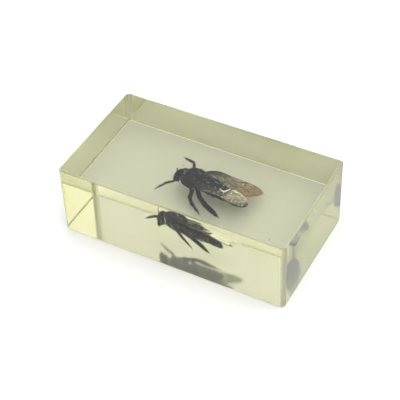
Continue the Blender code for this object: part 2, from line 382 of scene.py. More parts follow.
@dataclass(frozen=True)
class WingMembrane:
    """Smoke-brown chitin film between the veins.  It passes light and tints it: nearly black at the shoulder, pale
    in the cells, orange-brown towards the tip.  Its crumples carry painted shade in their troughs and a painted
    silver reflection, for air caught in the creases, on their ridges."""

    name: str
    stops: tuple[tuple[float, str], ...]
    crease: tuple[float, float]   # mm between creases, along the wing and across it
    painted_silver_share: float               # share of painted silver reflection on a crumple's ridge
    clear: float = 0.7            # share of the light that the bare film passes on
    lean: float = 0.3             # how much further along the leading edge the colours begin than on the trailing
    index: float = CHITIN_IOR / RESIN_IOR   # against what lies round it: resin, or air where a pocket is shut in
    size: tuple[float, float] = (18.5, 5.2)       # mm: the wing's span and its mean chord
    painted_shade_levels: tuple[float, float] = (0.47, 0.36)     # noise levels at which the painted shade in a crumple's trough begins and is full
    painted_silver_levels: tuple[float, float] = (0.52, 0.62)   # and the painted silver reflection on a ridge
    crease_depth: float = 0.12    # mm
    stain: float = 1.6            # mm between places where the colours run further out and less far
    stain_reach: float = 0.2      # how far, as a share of the span
    # painted shade in the crumples' troughs
    dark: str = "#2b2318"
    # painted silver reflection on the crumples' ridges
    silver: str = "#e9e5d2"

    def material(self) -> bpy.types.Material:
        """Build the material.

        Returns:
            The finish, ready for a mesh.
        """
        finish, tree, shader = new_finish(self.name)
        span, chord = (add_node(tree, "ShaderNodeAttribute", attribute_name=name).outputs["Fac"]
                       for name in ("span", "chord"))
        slant = add_node(tree, "ShaderNodeMath", {0: chord, 1: self.lean, 2: span}, operation="MULTIPLY_ADD")
        stain = add_node(tree, "ShaderNodeMath", {
            0: grain(tree, self.stain, 3.0), 1: self.stain_reach, 2: slant.outputs[0]}, operation="MULTIPLY_ADD")
        place = add_node(tree, "ShaderNodeMath", {0: stain.outputs[0], 1: (self.stain_reach + self.lean) / 2},
                         operation="SUBTRACT").outputs[0]
        flat = add_node(tree, "ShaderNodeCombineXYZ", {"X": span, "Y": chord}).outputs[0]
        counts = tuple(size / gap for size, gap in zip(self.size, self.crease))
        sheet = add_node(tree, "ShaderNodeVectorMath", {0: flat, 1: (*counts, 1.0)}, operation="MULTIPLY").outputs[0]
        crumple = add_node(tree, "ShaderNodeTexNoise", {"Vector": sheet, "Scale": 1.0, "Detail": 2.0}).outputs[0]
        # the crumple noise that raises the relief also lays painted shade in its troughs and painted silver on its
        # ridges
        painted_trough_shade, painted_ridge_silver = (add_node(tree, "ShaderNodeMapRange", {
            "Value": crumple, "From Min": start, "From Max": full, "To Max": share}).outputs[0]
            for (start, full), share in ((self.painted_shade_levels, 0.85), (self.painted_silver_levels, self.painted_silver_share)))
        # the painted silver reflection shows between the shoulder and the tip only
        middle = ramp(tree, place, [(0.2, "#000000"), (0.34, "#ffffff"), (0.66, "#ffffff"), (0.8, "#303030")])
        painted_ridge_silver = add_node(tree, "ShaderNodeMath", {0: painted_ridge_silver, 1: middle}, operation="MULTIPLY").outputs[0]
        bare = ramp(tree, place, self.stops)
        creased = add_node(tree, "ShaderNodeMix", {0: painted_trough_shade, 6: bare, 7: linear(self.dark)}, data_type="RGBA")
        colour = add_node(tree, "ShaderNodeMix", {0: painted_ridge_silver, 6: creased.outputs[2], 7: linear(self.silver)},
                          data_type="RGBA")
        tree.links.new(colour.outputs[2], shader.inputs["Base Color"])
        # the film passes less light where the painted silver lies
        passed = add_node(tree, "ShaderNodeMapRange", {"Value": painted_ridge_silver, "To Min": self.clear, "To Max": 0.1})
        tree.links.new(passed.outputs[0], shader.inputs["Transmission Weight"])
        shader.inputs["IOR"].default_value = self.index
        shader.inputs["Roughness"].default_value = 0.25
        relief(tree, shader, crumple, self.crease_depth)
        return finish


@dataclass(frozen=True)
class WingVein:
    """Hollow ribs of hard dark-brown chitin that hold the membrane open."""

    dark: str = "#0f0b08"
    pale: str = "#3a2817"

    def material(self) -> bpy.types.Material:
        """Build the material.

        Returns:
            The finish, ready for a mesh.
        """
        finish, tree, shader = new_finish("dark_wing_vein")
        colour = ramp(tree, grain(tree, 0.7), [(0.3, self.dark), (0.7, self.pale)])
        tree.links.new(colour, shader.inputs["Base Color"])
        shader.inputs["IOR"].default_value = CHITIN_IOR
        shader.inputs["Roughness"].default_value = 0.4
        shader.inputs["Specular IOR Level"].default_value = 0.2
        return finish


@dataclass(frozen=True)
class TrappedAir:
    """Air that the resin shut in against the wings and hair.  Light in the resin meets it as a mirror when it
    comes in flat, which is the silver that shows from the side.  Where it is froth, it is white all round."""

    name: str = "trapped_air"
    clear: float = 1.0            # share that is clean air where it is frothiest, the rest froth
    froth_from: float = 0.0       # cloud level, 0 to 1, at which froth begins: at 0 it is froth all over
    froth_edge: float = 0.12      # how much higher the level is where the froth is full
    cloud: float = 0.6            # mm between patches of froth
    roughness: float = 0.04
    wrinkle: float = 0.35         # mm between the small wrinkles of its skin
    wrinkle_depth: float = 0.025  # mm
    froth: str = "#f2f3ea"

    def material(self) -> bpy.types.Material:
        """Build the material.

        Returns:
            The finish, ready for a mesh.
        """
        finish, tree, shader = new_finish(self.name)
        shader.inputs["Base Color"].default_value = linear(self.froth)
        clean = add_node(tree, "ShaderNodeMapRange", {
            "Value": grain(tree, self.cloud, 3.0), "From Min": self.froth_from,
            "From Max": self.froth_from + self.froth_edge, "To Min": 1.0, "To Max": self.clear})
        tree.links.new(clean.outputs[0], shader.inputs["Transmission Weight"])
        shader.inputs["IOR"].default_value = AIR_IN_RESIN
        shader.inputs["Roughness"].default_value = self.roughness
        relief(tree, shader, grain(tree, self.wrinkle), self.wrinkle_depth)
        return finish


@dataclass(frozen=True)
class PlantGrain:
    """Crumbs of brown plant dust that fell in while the resin was wet, matt and mottled."""

    dark: str = "#3a2c18"
    pale: str = "#7a6238"

    def material(self) -> bpy.types.Material:
        """Build the material.

        Returns:
            The finish, ready for a mesh.
        """
        finish, tree, shader = new_finish("brown_plant_dust")
        colour = ramp(tree, grain(tree, 0.15), [(0.35, self.dark), (0.65, self.pale)])
        tree.links.new(colour, shader.inputs["Base Color"])
        shader.inputs["Roughness"].default_value = 0.8
        relief(tree, shader, grain(tree, 0.1), 0.03)
        return finish


@dataclass(frozen=True)
class PaperSweep:
    """Matt white paper under the block."""

    colour: str = "#F6F6F6"

    def material(self) -> bpy.types.Material:
        """Build the material.

        Returns:
            The finish, ready for a mesh.
        """
        finish, tree, shader = new_finish("matt_white_paper")
        shader.inputs["Base Color"].default_value = linear(self.colour)
        shader.inputs["Roughness"].default_value = 0.9
        shader.inputs["Specular IOR Level"].default_value = 0.1
        relief(tree, shader, grain(tree, 0.4, 3.0), 0.02, 0.3)
        return finish


# ---------------------------------------------------------------- shapes

@dataclass(frozen=True)
class Shape:
    """A closed surface as arrays.

    points are (n, 3) millimetres, quads and triangles hold point numbers, and values name one number a point."""

    points: Array
    quads: npt.NDArray[np.int64]
    triangles: npt.NDArray[np.int64]
    values: dict[str, Array] = field(default_factory=dict)

    def corners(self) -> Array:
        """Every face as triangles, their corners as (m, 3, 3)."""
        halves = [self.quads[:, [0, 1, 2]], self.quads[:, [0, 2, 3]], self.triangles]
        return self.points[np.concatenate(halves)]

    def outward(self) -> "Shape":
        """The same surface facing out: turned over if the volume that its faces enclose is negative."""
        a, b, c = np.moveaxis(self.corners(), 1, 0)
        if np.einsum("ij,ij->", a, np.cross(b, c)) >= 0:
            return self
        return Shape(self.points, self.quads[:, ::-1], self.triangles[:, ::-1], self.values)

    def placed(self, change: Callable[[Array], Array]) -> "Shape":
        """The same faces on moved points."""
        return Shape(change(self.points), self.quads, self.triangles, self.values)


def joined(shapes: Sequence[Shape]) -> Shape:
    """Put several surfaces in one, each as it is.

    Args:
        shapes: the surfaces, all with the same named values.

    Returns:
        One shape whose faces count on through all the points.
    """
    starts = np.cumsum([0] + [len(shape.points) for shape in shapes[:-1]])
    return Shape(
        np.concatenate([shape.points for shape in shapes]),
        np.concatenate([shape.quads + start for shape, start in zip(shapes, starts)]),
        np.concatenate([shape.triangles + start for shape, start in zip(shapes, starts)]),
        {name: np.concatenate([shape.values[name] for shape in shapes]) for name in shapes[0].values})


def lofted(rings: Array, start: Array, end: Array, values: dict[str, Array] | None = None) -> Shape:
    """Close a stack of rings with a pole at each end.

    Point j of ring i meets point j + 1 of it and the same two of ring i + 1; the first and last ring fan to the
    start and the end pole.

    Args:
        rings: (r, c, 3) points, each ring going the same way round.
        start: the pole before the first ring.
        end: the pole after the last ring.
        values: for each name, (r, c) numbers; a pole takes its ring's mean.

    Returns:
        The closed surface, facing out.
    """
    count, around = rings.shape[:2]
    number = np.arange(count * around).reshape(count, around)
    beside = np.roll(number, -1, axis=1)
    quads = np.stack([number[:-1], beside[:-1], beside[1:], number[1:]], axis=-1).reshape(-1, 4)
    poles = np.full((2, around), [[count * around], [count * around + 1]])
    fans = np.concatenate([np.stack([poles[0], beside[0], number[0]], axis=-1),
                           np.stack([poles[1], number[-1], beside[-1]], axis=-1)])
    points = np.concatenate([rings.reshape(-1, 3), [start], [end]])
    kept = {name: np.concatenate([each.ravel(), [each[0].mean(), each[-1].mean()]])
            for name, each in (values or {}).items()}
    return Shape(points, quads, fans, kept).outward()


def looped(rings: Array) -> Shape:
    """Close a stack of rings on itself: the last ring meets the first, so the surface is a hollow band.

    Args:
        rings: (r, c, 3) points, each ring going the same way round.

    Returns:
        The closed surface, facing out.
    """
    number = np.arange(rings.shape[0] * rings.shape[1]).reshape(rings.shape[:2])
    beside, above = np.roll(number, -1, axis=1), np.roll(number, -1, axis=0)
    quads = np.stack([number, beside, np.roll(above, -1, axis=1), above], axis=-1).reshape(-1, 4)
    return Shape(rings.reshape(-1, 3), quads, np.zeros((0, 3), int)).outward()


def unit(ways: Array) -> Array:
    """Every vector at length 1."""
    return ways / np.maximum(np.linalg.norm(ways, axis=-1, keepdims=True), 1e-12)


def ellipsoid(place: Sequence[float], radii: Sequence[float], around: int = 32, rings: int = 22,
              lift: Callable[[Array], Array] | None = None) -> Shape:
    """A ball with three radii, its poles on X.

    A point is the centre plus each radius times the unit direction (cos p, sin p cos t, sin p sin t), and is then
    moved along the surface's normal by lift.

    Args:
        place: the centre.
        radii: the three radii.
        around: points in a ring.
        rings: rings between the poles.
        lift: from points on the plain ball, counted from its centre, to their height over it.

    Returns:
        The closed surface.
    """
    size = np.asarray(radii, float)
    polar = np.linspace(0, math.pi, rings + 2)[:, None]
    turn = np.linspace(0, 2 * math.pi, around, endpoint=False)[None, :]
    way = np.stack(np.broadcast_arrays(np.cos(polar), np.sin(polar) * np.cos(turn), np.sin(polar) * np.sin(turn)),
                   axis=-1)
    surface = way * size
    if lift is not None:
        surface = surface + unit(way / size) * lift(surface)[..., None]
    surface = surface + np.asarray(place, float)
    return lofted(surface[1:-1], surface[0].mean(0), surface[-1].mean(0))


def curve_at(stations: Array, place: Array) -> Array:
    """Catmull-Rom curve through the stations.

    Args:
        stations: (n, k) values, points or points with a radius.
        place: where to read it, counted in stations from 0 to n - 1.

    Returns:
        (len(place), k) values.
    """
    ends = np.concatenate([stations[:1], stations, stations[-1:]])
    low = np.clip(place.astype(int), 0, len(stations) - 2)
    t = (place - low)[:, None]
    a, b, c, d = (ends[low + step] for step in range(4))
    return 0.5 * (2 * b + (c - a) * t + (2 * a - 5 * b + 4 * c - d) * t ** 2 + (3 * b - a - 3 * c + d) * t ** 3)


def swept(path: Array, radii: Array, around: int = 12, flat: float = 1.0) -> Shape:
    """A tube along a path.

    Each ring stands across the path: its side vector is the path's direction crossed with the one direction that
    the path turns least towards, so the tube doesn't twist, and its other vector is flat times as long.

    Args:
        path: (n, 3) points.
        radii: (n,) radii.
        around: points in a ring.
        flat: height of the section over its width.

    Returns:
        The closed tube, with a blunt point half a radius past each end.
    """
    way = unit(np.gradient(path, axis=0))
    least = np.linalg.svd(way)[2][-1]
    side = unit(np.cross(way, least))
    rise = np.cross(side, way)
    turn = np.linspace(0, 2 * math.pi, around, endpoint=False)[None, :, None]
    rings = path[:, None] + radii[:, None, None] * (
        np.cos(turn) * side[:, None] + flat * np.sin(turn) * rise[:, None])
    return lofted(rings, path[0] - way[0] * radii[0] / 2, path[-1] + way[-1] * radii[-1] / 2)


def tube_along(route: Sequence[Sequence[float]], steps: int, around: int = 12, flat: float = 1.0) -> Shape:
    """A tube along the curve through a route.

    Args:
        route: its points, each with the tube's radius there.
        steps: rings along it.
        around: points in a ring.
        flat: height of the section over its width.

    Returns:
        The closed tube.
    """
    line = curve_at(np.array(route), np.linspace(0, len(route) - 1, steps))
    return swept(line[:, :3], line[:, 3], around, flat)


def bell(distance: Array, width: float) -> Array:
    """Smooth hump: 1 at distance 0, falling off over the given width."""
    return np.exp(-(distance / width) ** 2)


def pinched(place: Array, joints: Sequence[float], width: float, depth: float) -> Array:
    """Factor that narrows a limb at its joints: 1 less a bell of the given width and depth at each."""
    return 1 - depth * bell(place[:, None] - np.asarray(joints), width).max(axis=1)


def in_block(points: Array) -> Array:
    """Lay points of the bee's frame in the block: turned about X by its roll, then moved to its place.

    Args:
        points: (n, 3) points in the bee's frame.

    Returns:
        (n, 3) points in the block's frame, both in millimetres.
    """
    cos, sin = math.cos(BEE_ROLL), math.sin(BEE_ROLL)
    turn = np.array([[1, 0, 0], [0, cos, sin], [0, -sin, cos]])
    return points @ turn.T + BEE_PLACE


# ---------------------------------------------------------------- meshes

def mesh_of(name: str, shape: Shape) -> bpy.types.Mesh:
    """Turn a shape into a smooth mesh.

    Args:
        name: the mesh's name.
        shape: the surface, in the block's millimetres.

    Returns:
        The mesh, in metres, with the shape's values as point attributes.
    """
    mesh = bpy.data.meshes.new(name)
    mesh.from_pydata((shape.points * MM).tolist(), [], [*shape.quads.tolist(), *shape.triangles.tolist()])
    mesh.shade_smooth()
    for key, each in shape.values.items():
        layer = mesh.attributes.new(key, "FLOAT", "POINT")
        layer.data.foreach_set("value", each.astype(np.float32))
    mesh.validate()
    return mesh


def add_piece(name: str, shape: Shape, finish: bpy.types.Material, slot: str, *stands_for: str) -> bpy.types.Object:
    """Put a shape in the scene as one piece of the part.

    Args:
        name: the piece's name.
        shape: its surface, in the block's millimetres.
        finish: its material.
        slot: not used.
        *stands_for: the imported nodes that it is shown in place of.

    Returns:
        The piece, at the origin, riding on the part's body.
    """
    mesh = mesh_of(name, shape)
    mesh.materials.append(finish)
    piece = bpy.data.objects.new(name, mesh)
    bpy.context.scene.collection.objects.link(piece)
    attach(piece, BODY)
    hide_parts(*stands_for)
    log.info("%s: %d triangles", name, 2 * len(shape.quads) + len(shape.triangles))
    return piece


def add_to_bee(name: str, shape: Shape, finish: bpy.types.Material, slot: str = BEE_SLOT) -> None:
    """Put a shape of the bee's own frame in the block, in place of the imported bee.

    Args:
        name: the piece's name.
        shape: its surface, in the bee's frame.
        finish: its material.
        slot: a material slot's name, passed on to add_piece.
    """
    add_piece(name, shape.placed(in_block), finish, slot, "bee")


# ---------------------------------------------------------------- hair

def scattered(rng: np.random.Generator, skin: Shape, count: int,
              favour: Callable[[Array, Array], Array] | None = None) -> tuple[Array, Array]:
    """Random places on a skin.

    A place falls on a face with a chance that goes with its area times favour.

    Args:
        rng: where the random numbers come from.
        skin: the surface.
        count: how many places.
        favour: from the faces' centres and normals to how many places fall there.

    Returns:
        (count, 3) places and (count, 3) normals.
    """
    corners = skin.corners()
    cross = np.cross(corners[:, 1] - corners[:, 0], corners[:, 2] - corners[:, 0])
    area = np.linalg.norm(cross, axis=1)
    outward = unit(cross)
    if favour is not None:
        area = area * favour(corners.mean(1), outward)
    chosen = rng.choice(len(area), count, p=area / area.sum())
    mix = rng.dirichlet((1, 1, 1), count)
    return np.einsum("ij,ijk->ik", mix, corners[chosen]), outward[chosen]


def repeated(shape: Shape, places: Array, sizes: Array) -> Shape:
    """Copies of a shape, each times its own size and moved to its own place, in one surface.

    Args:
        shape: what is copied.
        places: (n, 3) places.
        sizes: (n,) sizes.

    Returns:
        All the copies as one shape.
    """
    points = places[:, None] + sizes[:, None, None] * shape.points
    first = len(shape.points) * np.arange(len(places))[:, None, None]
    return Shape(points.reshape(-1, 3), (first + shape.quads).reshape(-1, 4),
                 (first + shape.triangles).reshape(-1, 3))


@dataclass(frozen=True)
class Coat:
    """A coat of single hairs, each a three-sided tapering blade that leans over and curves back."""

    count: int
    shortest: float               # mm
    longest: float                # mm
    seed: int
    combed: tuple[float, float, float] = (1.0, 0.0, -0.2)
    lean: float = 0.75            # share of the combed direction in a hair's way
    scatter: float = 0.28         # and of chance
    least_rise: float = 0.25      # cosine to the normal under which no hair lies
    curl: float = 0.35            # how far a hair of length 1 bends on, and the chance in that
    press: float = 0.5            # share of that bend that goes back towards the skin
    thickness: float = 0.032      # mm: radius at the root
    brown: float = 0.35           # share of hairs that are paler
    dark_to: float = 0.4          # the shades of the dark hairs end and those of the paler ones begin here
    tufting: float = 0.55         # how much longer a hair is in the middle of a tuft
    tuft_wave: float = 3.6        # radians a millimetre: tufts stand about 0.9 mm apart

    def grown_on(self, skin: Shape, favour: Callable[[Array, Array], Array] | None = None) -> Shape:
        """Grow the coat on a skin.

        A hair leaves along the normal mixed with the combed direction and some scatter, and bends on by the
        square of its length.  Its length rises and falls with crossed sine waves over the body, which gathers the
        coat in tufts.

        Args:
            skin: the surface that it grows from.
            favour: from the faces' centres and normals to how thickly hair stands there.

        Returns:
            All the hairs, with each hair's shade at its points.
        """
        rng = np.random.default_rng(self.seed)
        roots, normal = scattered(rng, skin, self.count, favour)
        combed = np.asarray(self.combed)
        way = unit(normal + self.lean * combed + rng.normal(0, self.scatter, (self.count, 3)))
        rise = np.einsum("ij,ij->i", way, normal)
        way = unit(way + np.maximum(self.least_rise - rise, 0)[:, None] * normal)
        waves = np.sin(roots * self.tuft_wave + [0.0, 1.3, 2.1]).prod(axis=1)
        length = rng.uniform(self.shortest, self.longest, self.count) * (1 + self.tufting * waves)
        bend = self.curl * (combed + rng.normal(0, self.curl, (self.count, 3)) - self.press * normal)
        shade = np.where(rng.random(self.count) < self.brown, rng.uniform(self.dark_to, 1.0, self.count),
                         rng.uniform(0.0, self.dark_to, self.count))
        return self.blades(roots, way, bend, length, shade)

    def blades(self, roots: Array, way: Array, bend: Array, length: Array, shade: Array) -> Shape:
        """Make the hairs themselves: three rings of three points, closed at the root and drawn to a tip.

        Args:
            roots: (n, 3) places on the skin.
            way: (n, 3) directions at the root.
            bend: (n, 3) what is added to a hair of length 1, by the square of the way along it.
            length: (n,) lengths.
            shade: (n,) shades.

        Returns:
            The hairs, with each hair's shade at its ten points.
        """
        shares = np.array([0.0, 0.45, 0.8, 1.0])
        widths = np.array([1.0, 0.85, 0.5])
        line = (roots[:, None] + length[:, None, None] * (
            shares[:, None] * way[:, None] + shares[:, None] ** 2 * bend[:, None]))
        side = unit(np.cross(way, [0.31, 0.52, 0.79]))
        rise = np.cross(way, side)
        turn = np.arange(3) * 2 * math.pi / 3
        spoke = np.cos(turn)[:, None] * side[:, None] + np.sin(turn)[:, None] * rise[:, None]
        rings = line[:, :3, None] + self.thickness * widths[:, None, None] * spoke[:, None]
        points = np.concatenate([rings.reshape(len(roots), 9, 3), line[:, 3:]], axis=1)
        first = 10 * np.arange(len(roots))[:, None, None]
        sides = np.array([[0, 1, 4, 3], [1, 2, 5, 4], [2, 0, 3, 5], [3, 4, 7, 6], [4, 5, 8, 7], [5, 3, 6, 8]])
        ends = np.array([[0, 2, 1], [6, 7, 9], [7, 8, 9], [8, 6, 9]])
        return Shape(points.reshape(-1, 3), (first + sides).reshape(-1, 4), (first + ends).reshape(-1, 3),
                     {"shade": np.repeat(shade, 10)})


# ---------------------------------------------------------------- the block

@dataclass(frozen=True)
class ResinBlock:
    """The cast block, whole, as wide as the two packed halves: flat faces with eased edges."""

    low: Array
    high: Array
    # of the upright corners, turning from the one at the tail end of the far side to the head end
    corner_radii: tuple[float, ...] = (0.6, 1.4, 1.2, 1.4)
    edge_rounding: float = 0.45
    arc_steps: int = 10
    side_steps: int = 11
    inner_rings: tuple[float, float] = (0.3, 0.65)    # shares of the way from the middle of the top to its edge
    haze_low: float = 0.08        # mm over the underside
    haze_high: float = 0.12
    skin_depth: float = 0.2       # mm inside the sides
    skin_wall: float = 0.05
    skin_margin: float = 0.3      # mm short of top and underside

    def outline(self, inset: float) -> tuple[Array, Array, Array]:
        """The upright corners' rounded rectangle.

        Each corner is an arc about a centre that stays put while inset shortens its radius; the straight runs
        between are divided evenly.

        Args:
            inset: how far inside the full outline it runs.

        Returns:
            (n, 2) points, (n, 2) outward directions, and 1 for the points inside an arc, 0 for the others.
        """
        half = (self.high[:2] - self.low[:2]) / 2
        middle = (self.high[:2] + self.low[:2]) / 2
        radii = np.array(self.corner_radii)
        centres = (half - radii[:, None]) * np.array([[1, 1], [-1, 1], [-1, -1], [1, -1]])
        points, ways, rounded = [], [], []
        for number, centre in enumerate(centres):
            following = (number + 1) % 4
            turn = (number + np.linspace(0, 1, self.arc_steps + 1)) * math.pi / 2
            way = np.stack([np.cos(turn), np.sin(turn)], axis=-1)
            arc = centre + way * (radii[number] - inset)
            end = centres[following] + way[-1] * (radii[following] - inset)
            share = np.linspace(0, 1, self.side_steps + 1)[1:-1, None]
            points += [arc, arc[-1] * (1 - share) + end * share]
            ways += [way, np.repeat(way[-1:], len(share), axis=0)]
            rounded += [[0.0], np.ones(len(arc) - 2), np.zeros(1 + len(share))]
        return np.concatenate(points) + middle, np.concatenate(ways), np.concatenate(rounded)

    def surface(self) -> tuple[Shape, Array]:
        """The block and its exact normals.

        The section runs from the middle of the top over a quarter arc, down the side, round another quarter arc
        and in to the middle of the underside; a ring of it is the outline at that inset, with the normal leaning
        from straight up to straight down.  The value "eased" is 1 on the arcs and 0 on the flat faces.

        Returns:
            The closed surface, and a normal for each of its points.
        """
        r = self.edge_rounding
        quarter = np.linspace(0, math.pi / 2, self.arc_steps + 1)
        lean = np.concatenate([quarter, quarter + math.pi / 2])
        inset = r * (1 - np.sin(lean))
        height = np.where(lean <= quarter[-1], self.high[2] - r * (1 - np.cos(lean)),
                          self.low[2] + r * (1 + np.cos(lean)))
        height[self.arc_steps + 1] = self.low[2] + r
        rings, normals, eased = [], [], []
        for step, rise, angle in zip(inset, height, lean):
            flat, way, rounded = self.outline(step)
            rings.append(np.column_stack([flat, np.full(len(flat), rise)]))
            normals.append(np.column_stack([way * math.sin(angle), np.full(len(flat), math.cos(angle))]))
            leaning = abs(math.sin(2 * angle)) > 1e-6
            eased.append(np.ones(len(flat)) if leaning else rounded * math.sin(angle))
        middle = (self.low + self.high) / 2
        poles = [middle * [1, 1, 0] + [0, 0, self.high[2]], middle * [1, 1, 0] + [0, 0, self.low[2]]]
        inward = np.array(self.inner_rings)[:, None, None]
        top = poles[0] + (rings[0] - poles[0]) * inward
        bottom = poles[1] + (rings[-1] - poles[1]) * inward[::-1]
        up = np.broadcast_to([0.0, 0.0, 1.0], top.shape)
        stack = np.concatenate([top, rings, bottom])
        facing = np.concatenate([up, normals, -up]).reshape(-1, 3)
        plain = np.zeros(top.shape[:2])
        shape = lofted(stack, poles[0], poles[1], {"eased": np.concatenate([plain, eased, plain])})
        return shape, np.concatenate([facing, [[0, 0, 1]], [[0, 0, -1]]])

    def level(self, inset: float, height: float) -> Array:
        """The outline at one inset and height, as (n, 3) points."""
        flat = self.outline(inset)[0]
        return np.column_stack([flat, np.full(len(flat), self.low[2] + height)])

    def haze(self) -> Shape:
        """The ground layer of the underside.

        Returns:
            A sheet as wide as the underside's flat, just inside it.
        """
        rings = np.stack([self.level(self.edge_rounding, height) for height in (self.haze_low, self.haze_high)])
        middle = (self.low + self.high) / 2 * [1, 1, 0]
        return lofted(rings, middle + [0, 0, rings[0, 0, 2]], middle + [0, 0, rings[1, 0, 2]])

    def skin(self) -> Shape:
        """The yellowed skin of the four sides.

        Returns:
            A thin wall just inside them, up its outer face and down its inner one.
        """
        tall = self.high[2] - self.low[2]
        stops = ((self.skin_depth, self.skin_margin), (self.skin_depth, tall - self.skin_margin),
                 (self.skin_depth + self.skin_wall, tall - self.skin_margin),
                 (self.skin_depth + self.skin_wall, self.skin_margin))
        return looped(np.stack([self.level(inset, height) for inset, height in stops]))

    def build(self) -> None:
        """Add the block in place of the two packed halves, and the layers in it."""
        shape, normals = self.surface()
        block = add_piece("resin_block", shape, ClearResin().material(), RESIN_SLOT, "resin_lower", "resin_upper")
        block.data.normals_split_custom_set_from_vertices(normals.tolist())
        for name, layer, finish in (("underside_haze", self.haze(), GroundHaze()),
                                    ("yellowed_skin", self.skin(), YellowedSkin())):
            sheet = add_piece(name, layer, finish.material(), RESIN_SLOT, "resin_lower", "resin_upper")
            sheet.data.shade_flat()


# ---------------------------------------------------------------- the bee

